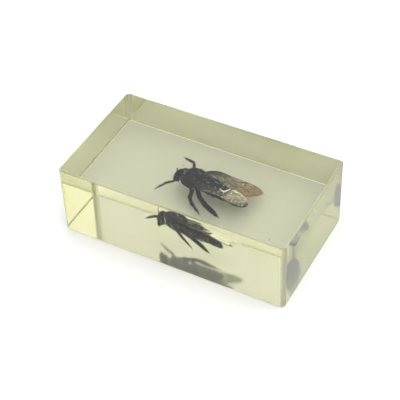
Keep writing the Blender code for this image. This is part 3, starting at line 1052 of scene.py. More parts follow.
@dataclass(frozen=True)
class Head:
    """The head: a broad skull flattened front to back, two large eyes, three small ones, jaws and feelers.  Jaw
    and feelers are given as points with a radius."""

    place: tuple[float, float, float] = (-4.3, -0.2, -0.55)
    radii: tuple[float, float, float] = (1.4, 2.35, 2.35)
    neck: tuple = ((-4.4, -0.15, -0.2), (-3.6, -0.1, -0.15), (-2.9, 0.0, -0.1))
    neck_radii: tuple[float, float] = (0.95, 0.75)    # at its two ends
    eye_place: tuple[float, float, float] = (-4.4, 1.6, -0.7)
    eye_radii: tuple[float, float, float] = (0.9, 0.82, 1.65)
    small_eye_places: tuple = ((-5.34, -0.2, 0.98), (-5.02, 0.25, 1.36), (-5.02, -0.65, 1.36))
    small_eye_radii: tuple[float, float, float] = (0.17, 0.17, 0.14)
    lip_place: tuple[float, float, float] = (-5.5, -0.2, -2.45)
    lip_radii: tuple[float, float, float] = (0.34, 0.75, 0.42)
    jaw: tuple = ((-5.3, 0.9, -2.3, 0.60), (-5.55, 0.85, -2.9, 0.50), (-5.5, 0.6, -3.5, 0.32),
                  (-5.3, 0.25, -3.95, 0.12))
    tooth: tuple[float, float, float] = (0.02, -0.35, -0.3)    # from the jaw's third point, inwards and down
    far_antenna: tuple = ((-5.6, 0.4, 0.4, 0.14), (-6.0, 0.5, 1.7, 0.11), (-5.9, 0.1, 2.6, 0.11),
                          (-5.6, -0.2, 3.4, 0.10))
    near_antenna: tuple = ((-5.5, -0.8, 0.2, 0.14), (-5.75, -1.3, -0.5, 0.11), (-5.65, -1.8, -1.2, 0.11),
                           (-5.4, -2.2, -2.2, 0.10))
    bead: tuple[float, float] = (0.98, 1.12)    # where the bead begins and ends, counted in a feeler's points
    joint: float = 0.188                        # length of each short joint after it, counted likewise
    face_hair: Coat = Coat(2600, 0.2, 0.5, seed=11, combed=(-0.2, 0.0, 0.35), lean=0.5, thickness=0.036)
    crown_hair: Coat = Coat(2400, 0.35, 0.8, seed=14, combed=(0.5, 0.2, 0.3), lean=0.8, thickness=0.04)

    def lift(self, p: Array) -> Array:
        """Relief: the shield over the mouth stands out between two grooves, with a keel above it, and the lower
        back of the head is hollow where it faces the body.

        Args:
            p: points counted from the head's middle.

        Returns:
            Their heights over the plain skull.
        """
        face = np.clip(-p[..., 0] / self.radii[0], 0, 1)
        nape = np.clip(p[..., 0] / self.radii[0], 0, 1) * np.clip(0.2 - p[..., 2] / self.radii[2], 0, 1)
        shield = bell(np.hypot(p[..., 1] / 1.15, (p[..., 2] + 1.15) / 0.85), 1.0)
        rim = bell(np.hypot(p[..., 1] / 1.25, (p[..., 2] + 1.1) / 0.95) - 1.0, 0.12)
        keel = bell(p[..., 1], 0.14) * bell(p[..., 2] - 0.35, 0.6)
        sockets = bell(np.hypot(np.abs(p[..., 1]) - 0.6, p[..., 2] - 0.6), 0.22)
        return face * (0.24 * shield - 0.07 * rim + 0.14 * keel - 0.1 * sockets) - 0.42 * nape

    def skull(self) -> Shape:
        """The skull without its neck."""
        return ellipsoid(self.place, self.radii, 72, 48, self.lift)

    def eyes(self) -> Shape:
        """Both compound eyes."""
        x, y, z = self.eye_place
        return joined([ellipsoid((x, self.place[1] + side.value * y, z), self.eye_radii, 40, 28) for side in Side])

    def small_eyes(self) -> Shape:
        """The three simple eyes in a triangle on top of the head."""
        return joined([ellipsoid(place, self.small_eye_radii, 16, 10) for place in self.small_eye_places])

    def jaws(self) -> Shape:
        """The mouth's parts.

        Returns:
            Both mandibles, each with a tooth inside its tip, and the lip between them.
        """
        shapes = [ellipsoid(self.lip_place, self.lip_radii, 24, 14)]
        for side in Side:
            route = np.array(self.jaw) * [1, side.value, 1, 1]
            shapes.append(tube_along(route, 28, 16, 0.7))
            tooth = np.array([route[2, :3], route[2, :3] + np.array(self.tooth) * [1, side.value, 1]])
            shapes.append(swept(curve_at(tooth, np.linspace(0, 1, 8)), np.linspace(0.2, 0.04, 8), 10))
        return joined(shapes)

    def antenna(self, route: tuple) -> Shape:
        """One feeler: a long first joint, a bead, and ten short joints, each narrowed where it meets the next.

        Args:
            route: points with a radius.

        Returns:
            The feeler.
        """
        place = np.linspace(0, len(route) - 1, 150)
        line = curve_at(np.array(route), place)
        joints = np.concatenate([self.bead, self.bead[1] + np.arange(1, 10) * self.joint])
        return swept(line[:, :3], line[:, 3] * pinched(place, joints, 0.035, 0.3), 14)

    def build(self, cuticle: bpy.types.Material, hair: bpy.types.Material) -> None:
        """Add the head's pieces.

        Args:
            cuticle: the material of its hard parts.
            hair: the material of its coat.
        """
        skull = self.skull()
        neck = swept(curve_at(np.array(self.neck), np.linspace(0, 2, 12)), np.linspace(*self.neck_radii, 12), 20)
        add_to_bee("head", joined([skull, neck]), cuticle)
        add_to_bee("compound_eyes", self.eyes(), FacetedEye().material())
        add_to_bee("simple_eyes", self.small_eyes(), FacetedEye().material())
        add_to_bee("jaws", self.jaws(), cuticle)
        add_to_bee("far_antenna", self.antenna(self.far_antenna), cuticle)
        add_to_bee("near_antenna", self.antenna(self.near_antenna), cuticle)
        fur = [self.face_hair.grown_on(skull, self.on_face), self.crown_hair.grown_on(skull, self.on_crown)]
        add_to_bee("head_hair", joined(fur), hair)

    def on_face(self, centre: Array, normal: Array) -> Array:
        """Short hair stands thick on the face and thin behind."""
        return 0.1 + np.clip(0.3 - normal[:, 0], 0, 1)

    def on_crown(self, centre: Array, normal: Array) -> Array:
        """Long hair stands on the crown and behind it, and reaches over the neck."""
        return np.clip(normal[:, 2] - 0.2, 0, 1) * np.clip(normal[:, 0] + 0.6, 0, 1)


@dataclass(frozen=True)
class Thorax:
    """The middle of the body: a hump of fused plates, furred all round, with a cap over each wing's root."""

    place: tuple[float, float, float] = (0.1, 0.0, 0.3)
    radii: tuple[float, float, float] = (3.72, 3.85, 3.12)
    collar_place: tuple[float, float, float] = (-3.3, 0.1, 0.6)
    collar_radii: tuple[float, float, float] = (1.3, 2.35, 1.65)
    scale_place: tuple[float, float, float] = (1.35, 3.15, 1.55)    # of the far wings' scale
    scale_radii: tuple[float, float, float] = (0.72, 0.5, 0.4)
    back_hair: Coat = Coat(9600, 0.3, 0.8, seed=12, combed=(0.8, 0.0, 0.0), lean=0.6, thickness=0.04)
    ruff: Coat = Coat(1500, 0.25, 0.6, seed=15, combed=(-0.5, 0.0, 0.3), lean=0.6, thickness=0.04)

    def lift(self, p: Array) -> Array:
        """Grooves where the plates meet: collar, middle line, two side lines, shield edge and flanks.

        Args:
            p: points counted from the middle of the hump.

        Returns:
            Their heights over the plain hump, none above 0.
        """
        x, y, z = p[..., 0], p[..., 1], p[..., 2]
        top = np.clip(z / self.radii[2] * 2, 0, 1)
        flank = np.clip(np.abs(y) / self.radii[1] * 1.6 - 0.6, 0, 1)
        shield = bell(x - 1.75 - 0.06 * y ** 2, 0.13)
        collar = bell(x + 2.55 - 0.05 * y ** 2, 0.13)
        middle = bell(y, 0.09) * (x < 1.6)
        lines = bell(np.abs(y) - 1.5 + 0.2 * x, 0.09) * (x < 0.9) * (x > -2.2)
        seams = bell(x + 0.9 + 0.25 * z, 0.14) + bell(x - 1.3 + 0.2 * z, 0.14)
        return -top * (0.15 * shield + 0.12 * collar + 0.06 * middle + 0.05 * lines) - 0.11 * flank * seams

    def skin(self) -> Shape:
        """The hump itself."""
        return ellipsoid(self.place, self.radii, 112, 84, self.lift)

    def collar(self) -> Shape:
        """The narrow plate that the head sits against, high on the front."""
        return ellipsoid(self.collar_place, self.collar_radii, 56, 36)

    def scales(self) -> Shape:
        """The two smooth scales over the roots of the wings."""
        x, y, z = self.scale_place
        return joined([ellipsoid((x, side.value * y, z), self.scale_radii, 28, 18) for side in Side])

    def build(self, cuticle: bpy.types.Material, hair: bpy.types.Material) -> None:
        """Add the thorax, its collar, its scales and its fur.

        Args:
            cuticle: the material of its hard parts.
            hair: the material of its coat.
        """
        skin, collar = self.skin(), self.collar()
        add_to_bee("thorax", joined([skin, collar]), cuticle)
        add_to_bee("wing_scales", self.scales(), cuticle)
        fur = [self.back_hair.grown_on(skin, self.favour), self.ruff.grown_on(collar)]
        add_to_bee("thorax_hair", joined(fur), hair)

    def favour(self, centre: Array, normal: Array) -> Array:
        """Hair stands thick round the rim and flanks and thin on the polished middle of the back."""
        bald = bell(np.hypot((centre[:, 0] - 0.2) / 1.6, centre[:, 1] / 1.7), 1.0) * (normal[:, 2] > 0)
        return 1.0 - 0.75 * bald


@dataclass(frozen=True)
class Abdomen:
    """The hind body: six plates that overlap towards the tail, wider than high, bent down and to the near side."""

    start: float = 2.3            # mm along the bee
    length: float = 13.0
    half_width: float = 3.7
    flatness: float = 0.56        # height over width
    waist_drop: float = 0.3       # mm that its middle line begins below the bee's origin
    drop: float = 2.9             # mm that the tail sinks below that
    bend: float = 2.2             # power of the way along by which it sinks
    turn: float = 0.9             # mm that the tail swings to the near side
    plates: int = 6
    step: float = 0.16            # mm: height of a plate's free edge
    fur: float = 0.14             # mm that the skin lies inside the tips of its hair
    hair: Coat = Coat(7600, 0.25, 0.65, seed=13, combed=(1.0, 0.0, -0.05), lean=0.95, thickness=0.038)

    def surface(self, along: Array, angle: Array) -> Array:
        """Points of the skin.

        The radius is half_width times the 0.45th power of sin(pi along^0.7), raised towards each plate's free edge
        by the square of the way along that plate; the middle line sinks by along^bend and swings by along squared.

        Args:
            along: share of the length, from the waist to the tail.
            angle: the turn about the length.

        Returns:
            The points, in the broadcast shape of both.
        """
        egg = self.half_width * np.sin(math.pi * np.clip(along, 0, 1) ** 0.7) ** 0.45
        within = (along * self.plates) % 1.0
        radius = np.maximum(egg - self.fur, 0.35 * egg) + self.step * within ** 2 * np.minimum(egg, 1)
        return np.stack(np.broadcast_arrays(
            self.start + along * self.length,
            radius * np.cos(angle) - self.turn * along ** 2,
            radius * np.sin(angle) * self.flatness - self.waist_drop - self.drop * along ** self.bend), axis=-1)

    def skin(self) -> Shape:
        """The abdomen's surface.

        Returns:
            The whole of it, its rings crowded at the plates' edges and at both ends.
        """
        within = np.array([0.015, 0.12, 0.3, 0.5, 0.7, 0.85, 0.94, 0.99])
        along = (np.arange(self.plates)[:, None] + within).ravel() / self.plates
        along = np.unique(np.concatenate([[0.0006, 0.004, 0.009, 0.985, 0.993, 0.9975, 0.9995], along]))
        angle = np.linspace(0, 2 * math.pi, 84, endpoint=False)
        rings = self.surface(along[:, None], angle[None, :])
        return lofted(rings, rings[0].mean(0), rings[-1].mean(0))

    def build(self, cuticle: bpy.types.Material, hair: bpy.types.Material) -> None:
        """Add the abdomen and its hair.

        Args:
            cuticle: the material of its hard parts.
            hair: the material of its coat.
        """
        skin = self.skin()
        add_to_bee("abdomen", skin, cuticle)
        add_to_bee("abdomen_hair", self.hair.grown_on(skin, self.favour), hair)

    def favour(self, centre: Array, normal: Array) -> Array:
        """How thick the hair is: it stands along the sides, the tail and the plates' free edges, and hardly on the
        shiny back.

        Args:
            centre: the faces' centres.
            normal: their outward normals.

        Returns:
            A share for each face.
        """
        along = (centre[:, 0] - self.start) / self.length
        edge = ((along * self.plates) % 1.0) ** 4
        return 0.15 + 1.2 * np.abs(normal[:, 1]) ** 2 + 1.4 * edge + 1.5 * np.clip(along - 0.75, 0, 1)


@dataclass(frozen=True)
class Leg:
    """One leg: hip, thigh, shin and five short foot joints, with spurs at the shin's end and two claws."""

    name: str
    route: tuple                  # points with the leg's radius, hair and all
    joints: tuple[float, ...]     # places of the joints, counted in points
    hairs: int
    seed: int
    hair_length: tuple[float, float] = (0.2, 0.55)    # mm
    bare: float = 0.92            # share of the radius that is the leg without its hair
    flatness: float = 0.88        # height of the section over its width
    joint_width: float = 0.09     # points along the leg that a joint's neck takes
    joint_depth: float = 0.42     # share of the radius that it takes away
    claw: float = 0.8             # mm
    claw_spread: float = 0.26     # mm that each claw's tip stands to its side
    claw_drop: float = 0.2        # mm that it hooks down
    spur: float = 0.75            # mm
    bare_foot: tuple[float, float] = (1.0, 1.8)       # mm from the tip at which bristles begin and are full

    def skin(self) -> Shape:
        """The leg without its hair.

        Returns:
            One tube, narrowed at its joints, that stops short of the route's end to leave room for the claws, and
            the claws and spurs.
        """
        stations = np.array(self.route)
        last = len(stations) - 1
        foot = np.linalg.norm(stations[-1, :3] - stations[-2, :3])
        place = np.linspace(0, last - self.claw / foot, 34 * last)
        line = curve_at(stations, place)
        radii = line[:, 3] * self.bare * pinched(place, self.joints, self.joint_width, self.joint_depth)
        limb = swept(line[:, :3], radii, 20, self.flatness)
        return joined([limb, *self.claws(line), *self.spurs(stations)])

    def claws(self, line: Array) -> list[Shape]:
        """Two hooked claws that part at the end of the foot.

        A claw runs on along the foot, leaves it sideways by the 0.7th power of the way along it, and drops by the
        square.

        Args:
            line: the middle line of the leg.

        Returns:
            Both claws.
        """
        tip, way = line[-1, :3], unit(line[-1, :3] - line[-8, :3])
        side = unit(np.cross(way, [0.0, 0.0, 1.0]))
        share = np.linspace(0, 1, 10)[:, None]
        hooks = []
        for hand in (1, -1):
            path = (tip + way * (0.8 * self.claw * share - 0.08) + hand * side * self.claw_spread * share ** 0.7
                    - np.array([0, 0, self.claw_drop]) * share ** 2)
            hooks.append(swept(path, np.linspace(0.1, 0.02, 10), 8))
        return hooks

    def spurs(self, stations: Array) -> list[Shape]:
        """Two thin spurs where the shin meets the foot, each leaving the leg's flank at a slant.

        Args:
            stations: the route.

        Returns:
            Both spurs.
        """
        ankle = self.joints[-4]
        near = curve_at(stations, np.array([ankle - 0.05, ankle + 0.05]))
        way = unit(near[1, :3] - near[0, :3])
        share = np.linspace(0, 1, 8)[:, None]
        spines = []
        for hand in (1, -1):
            off = unit(np.cross(way, [0.2, 0.5, 0.8])) * hand * near[0, 3] * 0.55
            path = near[0, :3] + off + (way * self.spur + off * 0.5) * share
            spines.append(swept(path, np.linspace(0.07, 0.015, 8), 8))
        return spines

    def build(self, cuticle: bpy.types.Material, hair: bpy.types.Material) -> None:
        """Add the leg and its bristles.

        Args:
            cuticle: the material of the limb.
            hair: the material of its bristles.
        """
        skin = self.skin()
        add_to_bee(self.name, skin, cuticle)
        way = unit(np.array(self.route[-1][:3]) - np.array(self.route[0][:3]))
        coat = Coat(self.hairs, *self.hair_length, seed=self.seed, combed=tuple(way), lean=0.8, thickness=0.034)
        add_to_bee(f"{self.name}_hair", coat.grown_on(skin, self.favour), hair)

    def favour(self, centre: Array, normal: Array) -> Array:
        """How thick the bristles are: they stand on the limb and not on its foot's end and claws.

        Args:
            centre: the faces' centres.
            normal: their outward normals.

        Returns:
            A share for each face.
        """
        from_tip = np.linalg.norm(centre - np.array(self.route[-1][:3]), axis=1)
        first, full = self.bare_foot
        return np.clip((from_tip - first) / (full - first), 0, 1)


LEGS = (
    Leg("far_foreleg", (
        (-2.0, 2.0, -1.6, 0.60), (-1.9, 3.8, -0.7, 0.46), (-2.6, 5.4, -0.1, 0.34), (-3.3, 6.6, -0.1, 0.34),
        (-4.7, 7.2, -0.3, 0.40), (-6.2, 7.9, -0.9, 0.29), (-8.1, 8.8, -1.6, 0.16)),
        joints=(0.7, 2.85, 4.6, 5.2, 5.48, 5.72), hairs=1000, seed=21),
    Leg("near_foreleg", (
        (-2.2, -2.0, -1.2, 0.60), (-3.0, -2.9, 0.2, 0.46), (-3.7, -3.6, 0.8, 0.36), (-4.5, -4.9, 1.0, 0.34),
        (-5.7, -6.3, 1.0, 0.33), (-6.6, -8.1, 0.6, 0.27), (-7.8, -10.2, 0.1, 0.16)),
        joints=(0.8, 2.7, 4.5, 5.2, 5.48, 5.72), hairs=1000, seed=22),
    Leg("near_midleg", (
        (0.4, -2.2, -2.0, 0.64), (1.4, -3.6, -1.6, 0.54), (2.1, -5.0, -1.4, 0.52), (2.6, -7.1, -1.4, 0.52),
        (3.5, -8.2, -1.8, 0.46), (4.6, -9.0, -2.6, 0.45), (6.2, -9.7, -3.7, 0.34), (8.2, -10.8, -4.9, 0.17)),
        joints=(0.8, 3.5, 5.5, 6.3, 6.55, 6.75), hairs=1300, seed=23),
    Leg("near_hindleg", (
        (2.0, -1.7, -2.2, 0.68), (3.3, -3.3, -2.0, 0.56), (4.6, -5.0, -1.8, 0.54), (6.6, -6.8, -1.8, 0.66),
        (8.6, -7.9, -2.3, 0.78), (10.5, -8.4, -3.2, 0.76), (12.2, -8.9, -4.2, 0.50), (13.8, -9.25, -4.9, 0.18)),
        joints=(0.8, 3.1, 5.7, 6.3, 6.55, 6.75), hairs=2300, seed=24),
    Leg("far_midleg", (
        (0.4, 1.6, -2.0, 0.65), (1.5, 2.8, -2.8, 0.55), (3.2, 3.0, -3.0, 0.50), (4.8, 2.0, -3.2, 0.46),
        (6.2, 1.0, -3.4, 0.30), (7.6, 0.2, -3.6, 0.17)),
        joints=(0.7, 2.3, 3.7, 4.3, 4.55, 4.78), hairs=800, seed=25),
    Leg("far_hindleg", (
        (2.0, 1.0, -2.2, 0.70), (3.5, 2.3, -3.3, 0.62), (5.2, 2.8, -3.9, 0.66), (7.5, 2.8, -4.1, 0.75),
        (10.0, 2.7, -3.9, 0.62), (12.3, 2.7, -3.7, 0.30), (14.2, 2.7, -3.7, 0.17)),
        joints=(0.8, 2.5, 4.4, 5.2, 5.48, 5.75), hairs=1100, seed=26),
)


# Waves of the wings' crumples, in radians a millimetre along the wing and across it
CRUMPLES = ((2.1, 3.3), (1.3, -4.2), (-2.1, 6.2), (3.5, 7.1), (-5.2, 6.3))

# Veins of a forewing: for each, its radius at the root in millimetres and its course as (span, chord) shares
FOREWING_VEINS = (
    (0.14, ((0.0, 0.05), (0.3, 0.03), (0.55, 0.03), (0.75, 0.04), (0.9, 0.06))),
    (0.11, ((0.38, 0.03), (0.43, 0.14), (0.5, 0.2), (0.62, 0.22), (0.75, 0.19), (0.86, 0.05))),
    (0.14, ((0.0, 0.2), (0.15, 0.3), (0.3, 0.38))),
    (0.11, ((0.3, 0.38), (0.34, 0.22), (0.42, 0.05))),
    (0.11, ((0.3, 0.38), (0.42, 0.42), (0.5, 0.45), (0.66, 0.5), (0.78, 0.55))),
    (0.11, ((0.3, 0.38), (0.36, 0.6), (0.48, 0.72), (0.6, 0.75))),
    (0.12, ((0.0, 0.4), (0.15, 0.62), (0.36, 0.78))),
    (0.09, ((0.5, 0.2), (0.52, 0.45))),
    (0.09, ((0.6, 0.22), (0.62, 0.48))),
    (0.09, ((0.72, 0.2), (0.7, 0.51))),
    (0.09, ((0.48, 0.44), (0.5, 0.73))),
    (0.09, ((0.64, 0.49), (0.62, 0.74))),
)
HINDWING_VEINS = (
    (0.13, ((0.0, 0.08), (0.35, 0.05), (0.7, 0.05), (0.85, 0.1))),
    (0.10, ((0.0, 0.3), (0.3, 0.35), (0.55, 0.4), (0.75, 0.45))),
    (0.08, ((0.5, 0.05), (0.55, 0.4))),
    (0.08, ((0.3, 0.35), (0.42, 0.6), (0.6, 0.72))),
)


@dataclass(frozen=True)
class Wing:
    """One wing: a thin film between a leading and a trailing edge, stiffened by veins."""

    name: str
    outline: tuple[tuple[float, float], ...]    # from the shoulder along the leading edge and back, seen from above
    tip: int                      # which point of the outline is the tip
    rise: float                   # mm that the shoulder lies above the bee's origin
    slope: float                  # mm that the wing falls for each mm of reach
    droop: float                  # and for each square mm of it
    veins: tuple
    film: WingMembrane
    wave: float = 0.07            # height of the folds that run from root to margin, mm
    ripple: float = 0.4           # share of it for the ripples that cross them
    crumple: float = 0.0          # height of the crumples in the outer half, mm
    crumple_from: float = 0.4     # share of the span at which they begin
    crumple_over: float = 0.2     # and over which they grow
    root_x: float = 1.9           # from which the reach is counted, mm
    thickness: float = 0.05       # mm: the real film is thinner still, but this one has to hold two skins
    vein_taper: float = 0.6       # a vein's radius at its end over that at its root
    pocket: TrappedAir | None = None
    pocket_span: tuple[float, float] = (0.5, 1.0)       # shares of the span between which the air lies
    pocket_chord: tuple[float, float] = (-0.02, 1.02)   # and of the chord
    pocket_thickness: float = 0.2   # mm
    seed: int = 0

    def edges(self, span: Array) -> tuple[Array, Array]:
        """Points on the leading and the trailing edge at shares of each edge's length.

        Both are read from one closed Catmull-Rom curve through the outline, parted at shoulder and tip, so the
        tip stays round.

        Args:
            span: shares from the shoulder to the tip.

        Returns:
            Two arrays of (n, 2) points.
        """
        count = len(self.outline)
        loop = np.array(self.outline * 3)
        first = count + np.linspace(0, self.tip, 240)
        second = 2 * count - np.linspace(0, count - self.tip, 240)
        found = []
        for place in (first, second):
            line = curve_at(loop, place)
            run = np.concatenate([[0], np.cumsum(np.linalg.norm(np.diff(line, axis=0), axis=1))])
            found.append(np.stack([np.interp(span * run[-1], run, line[:, axis]) for axis in (0, 1)], axis=-1))
        return found[0], found[1]

    def at(self, span: Array, chord: Array) -> Array:
        """Points of the wing: chord goes straight from the leading to the trailing edge, and the height falls by
        slope and droop with the reach from the shoulder.

        To that come folds, a sine of the chord that fades at root and tip; ripples, a sine mostly of the span that
        grows towards the tip; and in the outer half the crumples, the mean of the crossed waves of CRUMPLES.

        Args:
            span: shares from shoulder to tip.
            chord: shares from leading to trailing edge.

        Returns:
            (n, 3) points in the bee's frame.
        """
        lead, trail = self.edges(span)
        flat = lead * (1 - chord[:, None]) + trail * chord[:, None]
        reach = flat[:, 0] - self.root_x
        fold = np.sin(chord * 21 + self.seed) * np.sin(math.pi * np.clip(span, 0, 1)) * self.wave
        ripple = np.sin(span * 37 + chord * 9 + self.seed) * self.ripple * self.wave * span
        waves = sum(np.sin(flat[:, 0] * k + flat[:, 1] * m + self.seed * k) for k, m in CRUMPLES) / len(CRUMPLES)
        creased = np.clip((span - self.crumple_from) / self.crumple_over, 0, 1) * self.crumple * waves
        height = self.rise - self.slope * reach - self.droop * reach ** 2 + fold + ripple + creased
        return np.column_stack([flat, height])

    def sheet(self, thickness: float, spans: tuple[float, float], chords: tuple[float, float]) -> Shape:
        """A closed sheet in the wing's form: each ring runs out over its top skin and back under the other. The
        rings stand closer towards the sheet's end, where the outline turns.

        Args:
            thickness: between the two skins, mm.
            spans: the shares of the span at which it begins and ends.
            chords: the shares of the chord between which it lies.

        Returns:
            The sheet, with its shares of span and chord at its points.
        """
        start, end = spans
        span = end - (end - start) * np.linspace(1, 0.02, 110) ** 1.3
        chord = np.linspace(*chords, 40)
        round_trip = np.concatenate([chord, chord[-2:0:-1]])
        skin = np.concatenate([np.ones(len(chord)), -np.ones(len(chord) - 2)])
        skin[[0, len(chord) - 1]] = 0
        far, across = (each.ravel() for each in np.meshgrid(np.maximum(span, 0.004), round_trip, indexing="ij"))
        points = self.at(far, across).reshape(len(span), len(round_trip), 3)
        points[..., 2] += skin * thickness / 2
        grid = (len(span), len(round_trip))
        return lofted(points, points[0].mean(0), points[-1].mean(0),
                      {"span": far.reshape(grid), "chord": across.reshape(grid)})

    def ribs(self) -> Shape:
        """The veins.

        Returns:
            All of them in one surface, each a tube that thins along its course.
        """
        tubes = []
        for radius, course in self.veins:
            stations = np.array(course)
            line = curve_at(stations, np.linspace(0, len(stations) - 1, 14 * len(stations)))
            radii = np.linspace(radius, self.vein_taper * radius, len(line))
            tubes.append(swept(self.at(line[:, 0], line[:, 1]), radii, 10))
        return joined(tubes)

    def build(self, vein: bpy.types.Material) -> None:
        """Add the film, the veins and the air that the resin left round them.

        Args:
            vein: the material of the veins.
        """
        film = self.sheet(self.thickness, (0.0, 1.0), (0.0, 1.0))
        add_to_bee(self.name, film, self.film.material())
        add_to_bee(f"{self.name}_veins", self.ribs(), vein)
        if self.pocket is not None:
            air = self.sheet(self.pocket_thickness, self.pocket_span, self.pocket_chord)
            add_to_bee(f"{self.name}_air", air, self.pocket.material(), RESIN_SLOT)


# dark is each film's painted shade in its crumples' troughs; the silver share is painted reflection on their ridges
FAR_FILM = WingMembrane(
    "smoky_wing_membrane",
    ((0.0, "#15120f"), (0.14, "#2a241c"), (0.25, "#9a8b6e"), (0.36, "#dccca6"), (0.56, "#ddc293"),
     (0.66, "#dfa264"), (0.9, "#d59252"), (1.0, "#8f7456")),
    crease=(1.6, 0.45), painted_silver_share=0.55, clear=0.88, index=CHITIN_IOR, dark="#1d1710")
NEAR_FILM = WingMembrane(
    "crumpled_wing_membrane",
    ((0.0, "#15120f"), (0.44, "#2a241c"), (0.55, "#8d7f64"), (0.66, "#c9b993"), (0.8, "#b8a786"),
     (0.87, "#4c4136"), (1.0, "#352d25")),
    crease=(0.8, 0.6), painted_silver_share=0.9, clear=0.5, lean=-0.3, index=CHITIN_IOR)
HIND_FILM = WingMembrane(
    "smoky_hindwing_membrane",
    ((0.0, "#15120f"), (0.4, "#3a3228"), (0.8, "#6b5f4b"), (1.0, "#5a4d3c")),
    crease=(1.8, 0.45), painted_silver_share=0.25, size=(11.0, 4.0))
SMOOTH_AIR = TrappedAir(
    "air_round_the_far_wing",
    clear=0.6, froth_from=0.55, cloud=0.5, roughness=0.06, wrinkle=1.2, wrinkle_depth=0.02)
CRUMPLED_AIR = TrappedAir(
    "air_round_the_near_wing",
    clear=0.4, froth_from=0.52, cloud=0.6, roughness=0.2, wrinkle=0.5, wrinkle_depth=0.02)

WINGS = (
    Wing("far_forewing", (
        (1.9, 3.0), (3.6, 5.2), (6.0, 6.15), (10.5, 6.1), (15.4, 6.5), (19.3, 5.8), (21.0, 4.4), (19.8, 2.2),
        (16.8, -0.1), (13.0, 0.6), (9.5, 1.9), (5.5, 2.7)),
        tip=6, rise=1.3, slope=0.12, droop=0.0, veins=FOREWING_VEINS, film=FAR_FILM, wave=0.008, crumple=0.018,
        pocket=SMOOTH_AIR, pocket_span=(0.3, 1.0), seed=1),
    Wing("near_forewing", (
        (1.9, -3.4), (3.6, -4.5), (7.0, -4.7), (10.5, -4.4), (13.0, -4.9), (15.6, -5.4), (18.0, -4.7),
        (19.3, -3.0), (18.3, -1.1), (15.6, 0.25), (13.0, 0.5), (10.6, -1.2), (6.5, -1.9)),
        tip=7, rise=1.35, slope=0.0, droop=0.008, veins=FOREWING_VEINS, film=NEAR_FILM, wave=0.01, crumple=0.025,
        pocket=CRUMPLED_AIR, pocket_span=(0.56, 0.9), pocket_chord=(0.14, 1.02), seed=2),
    Wing("far_hindwing", (
        (2.6, 2.7), (5.5, 4.1), (10.0, 4.3), (13.6, 3.0), (13.2, 1.2), (9.0, 0.7), (5.0, 1.4)),
        tip=3, rise=0.8, slope=0.12, droop=0.0, veins=HINDWING_VEINS, film=HIND_FILM, seed=3),
    Wing("near_hindwing", (
        (2.6, -2.9), (5.5, -4.0), (9.5, -4.1), (12.4, -3.2), (12.2, -1.6), (8.6, -1.0), (5.0, -1.5)),
        tip=3, rise=0.9, slope=0.02, droop=0.008, veins=HINDWING_VEINS, film=HIND_FILM, seed=4),
)


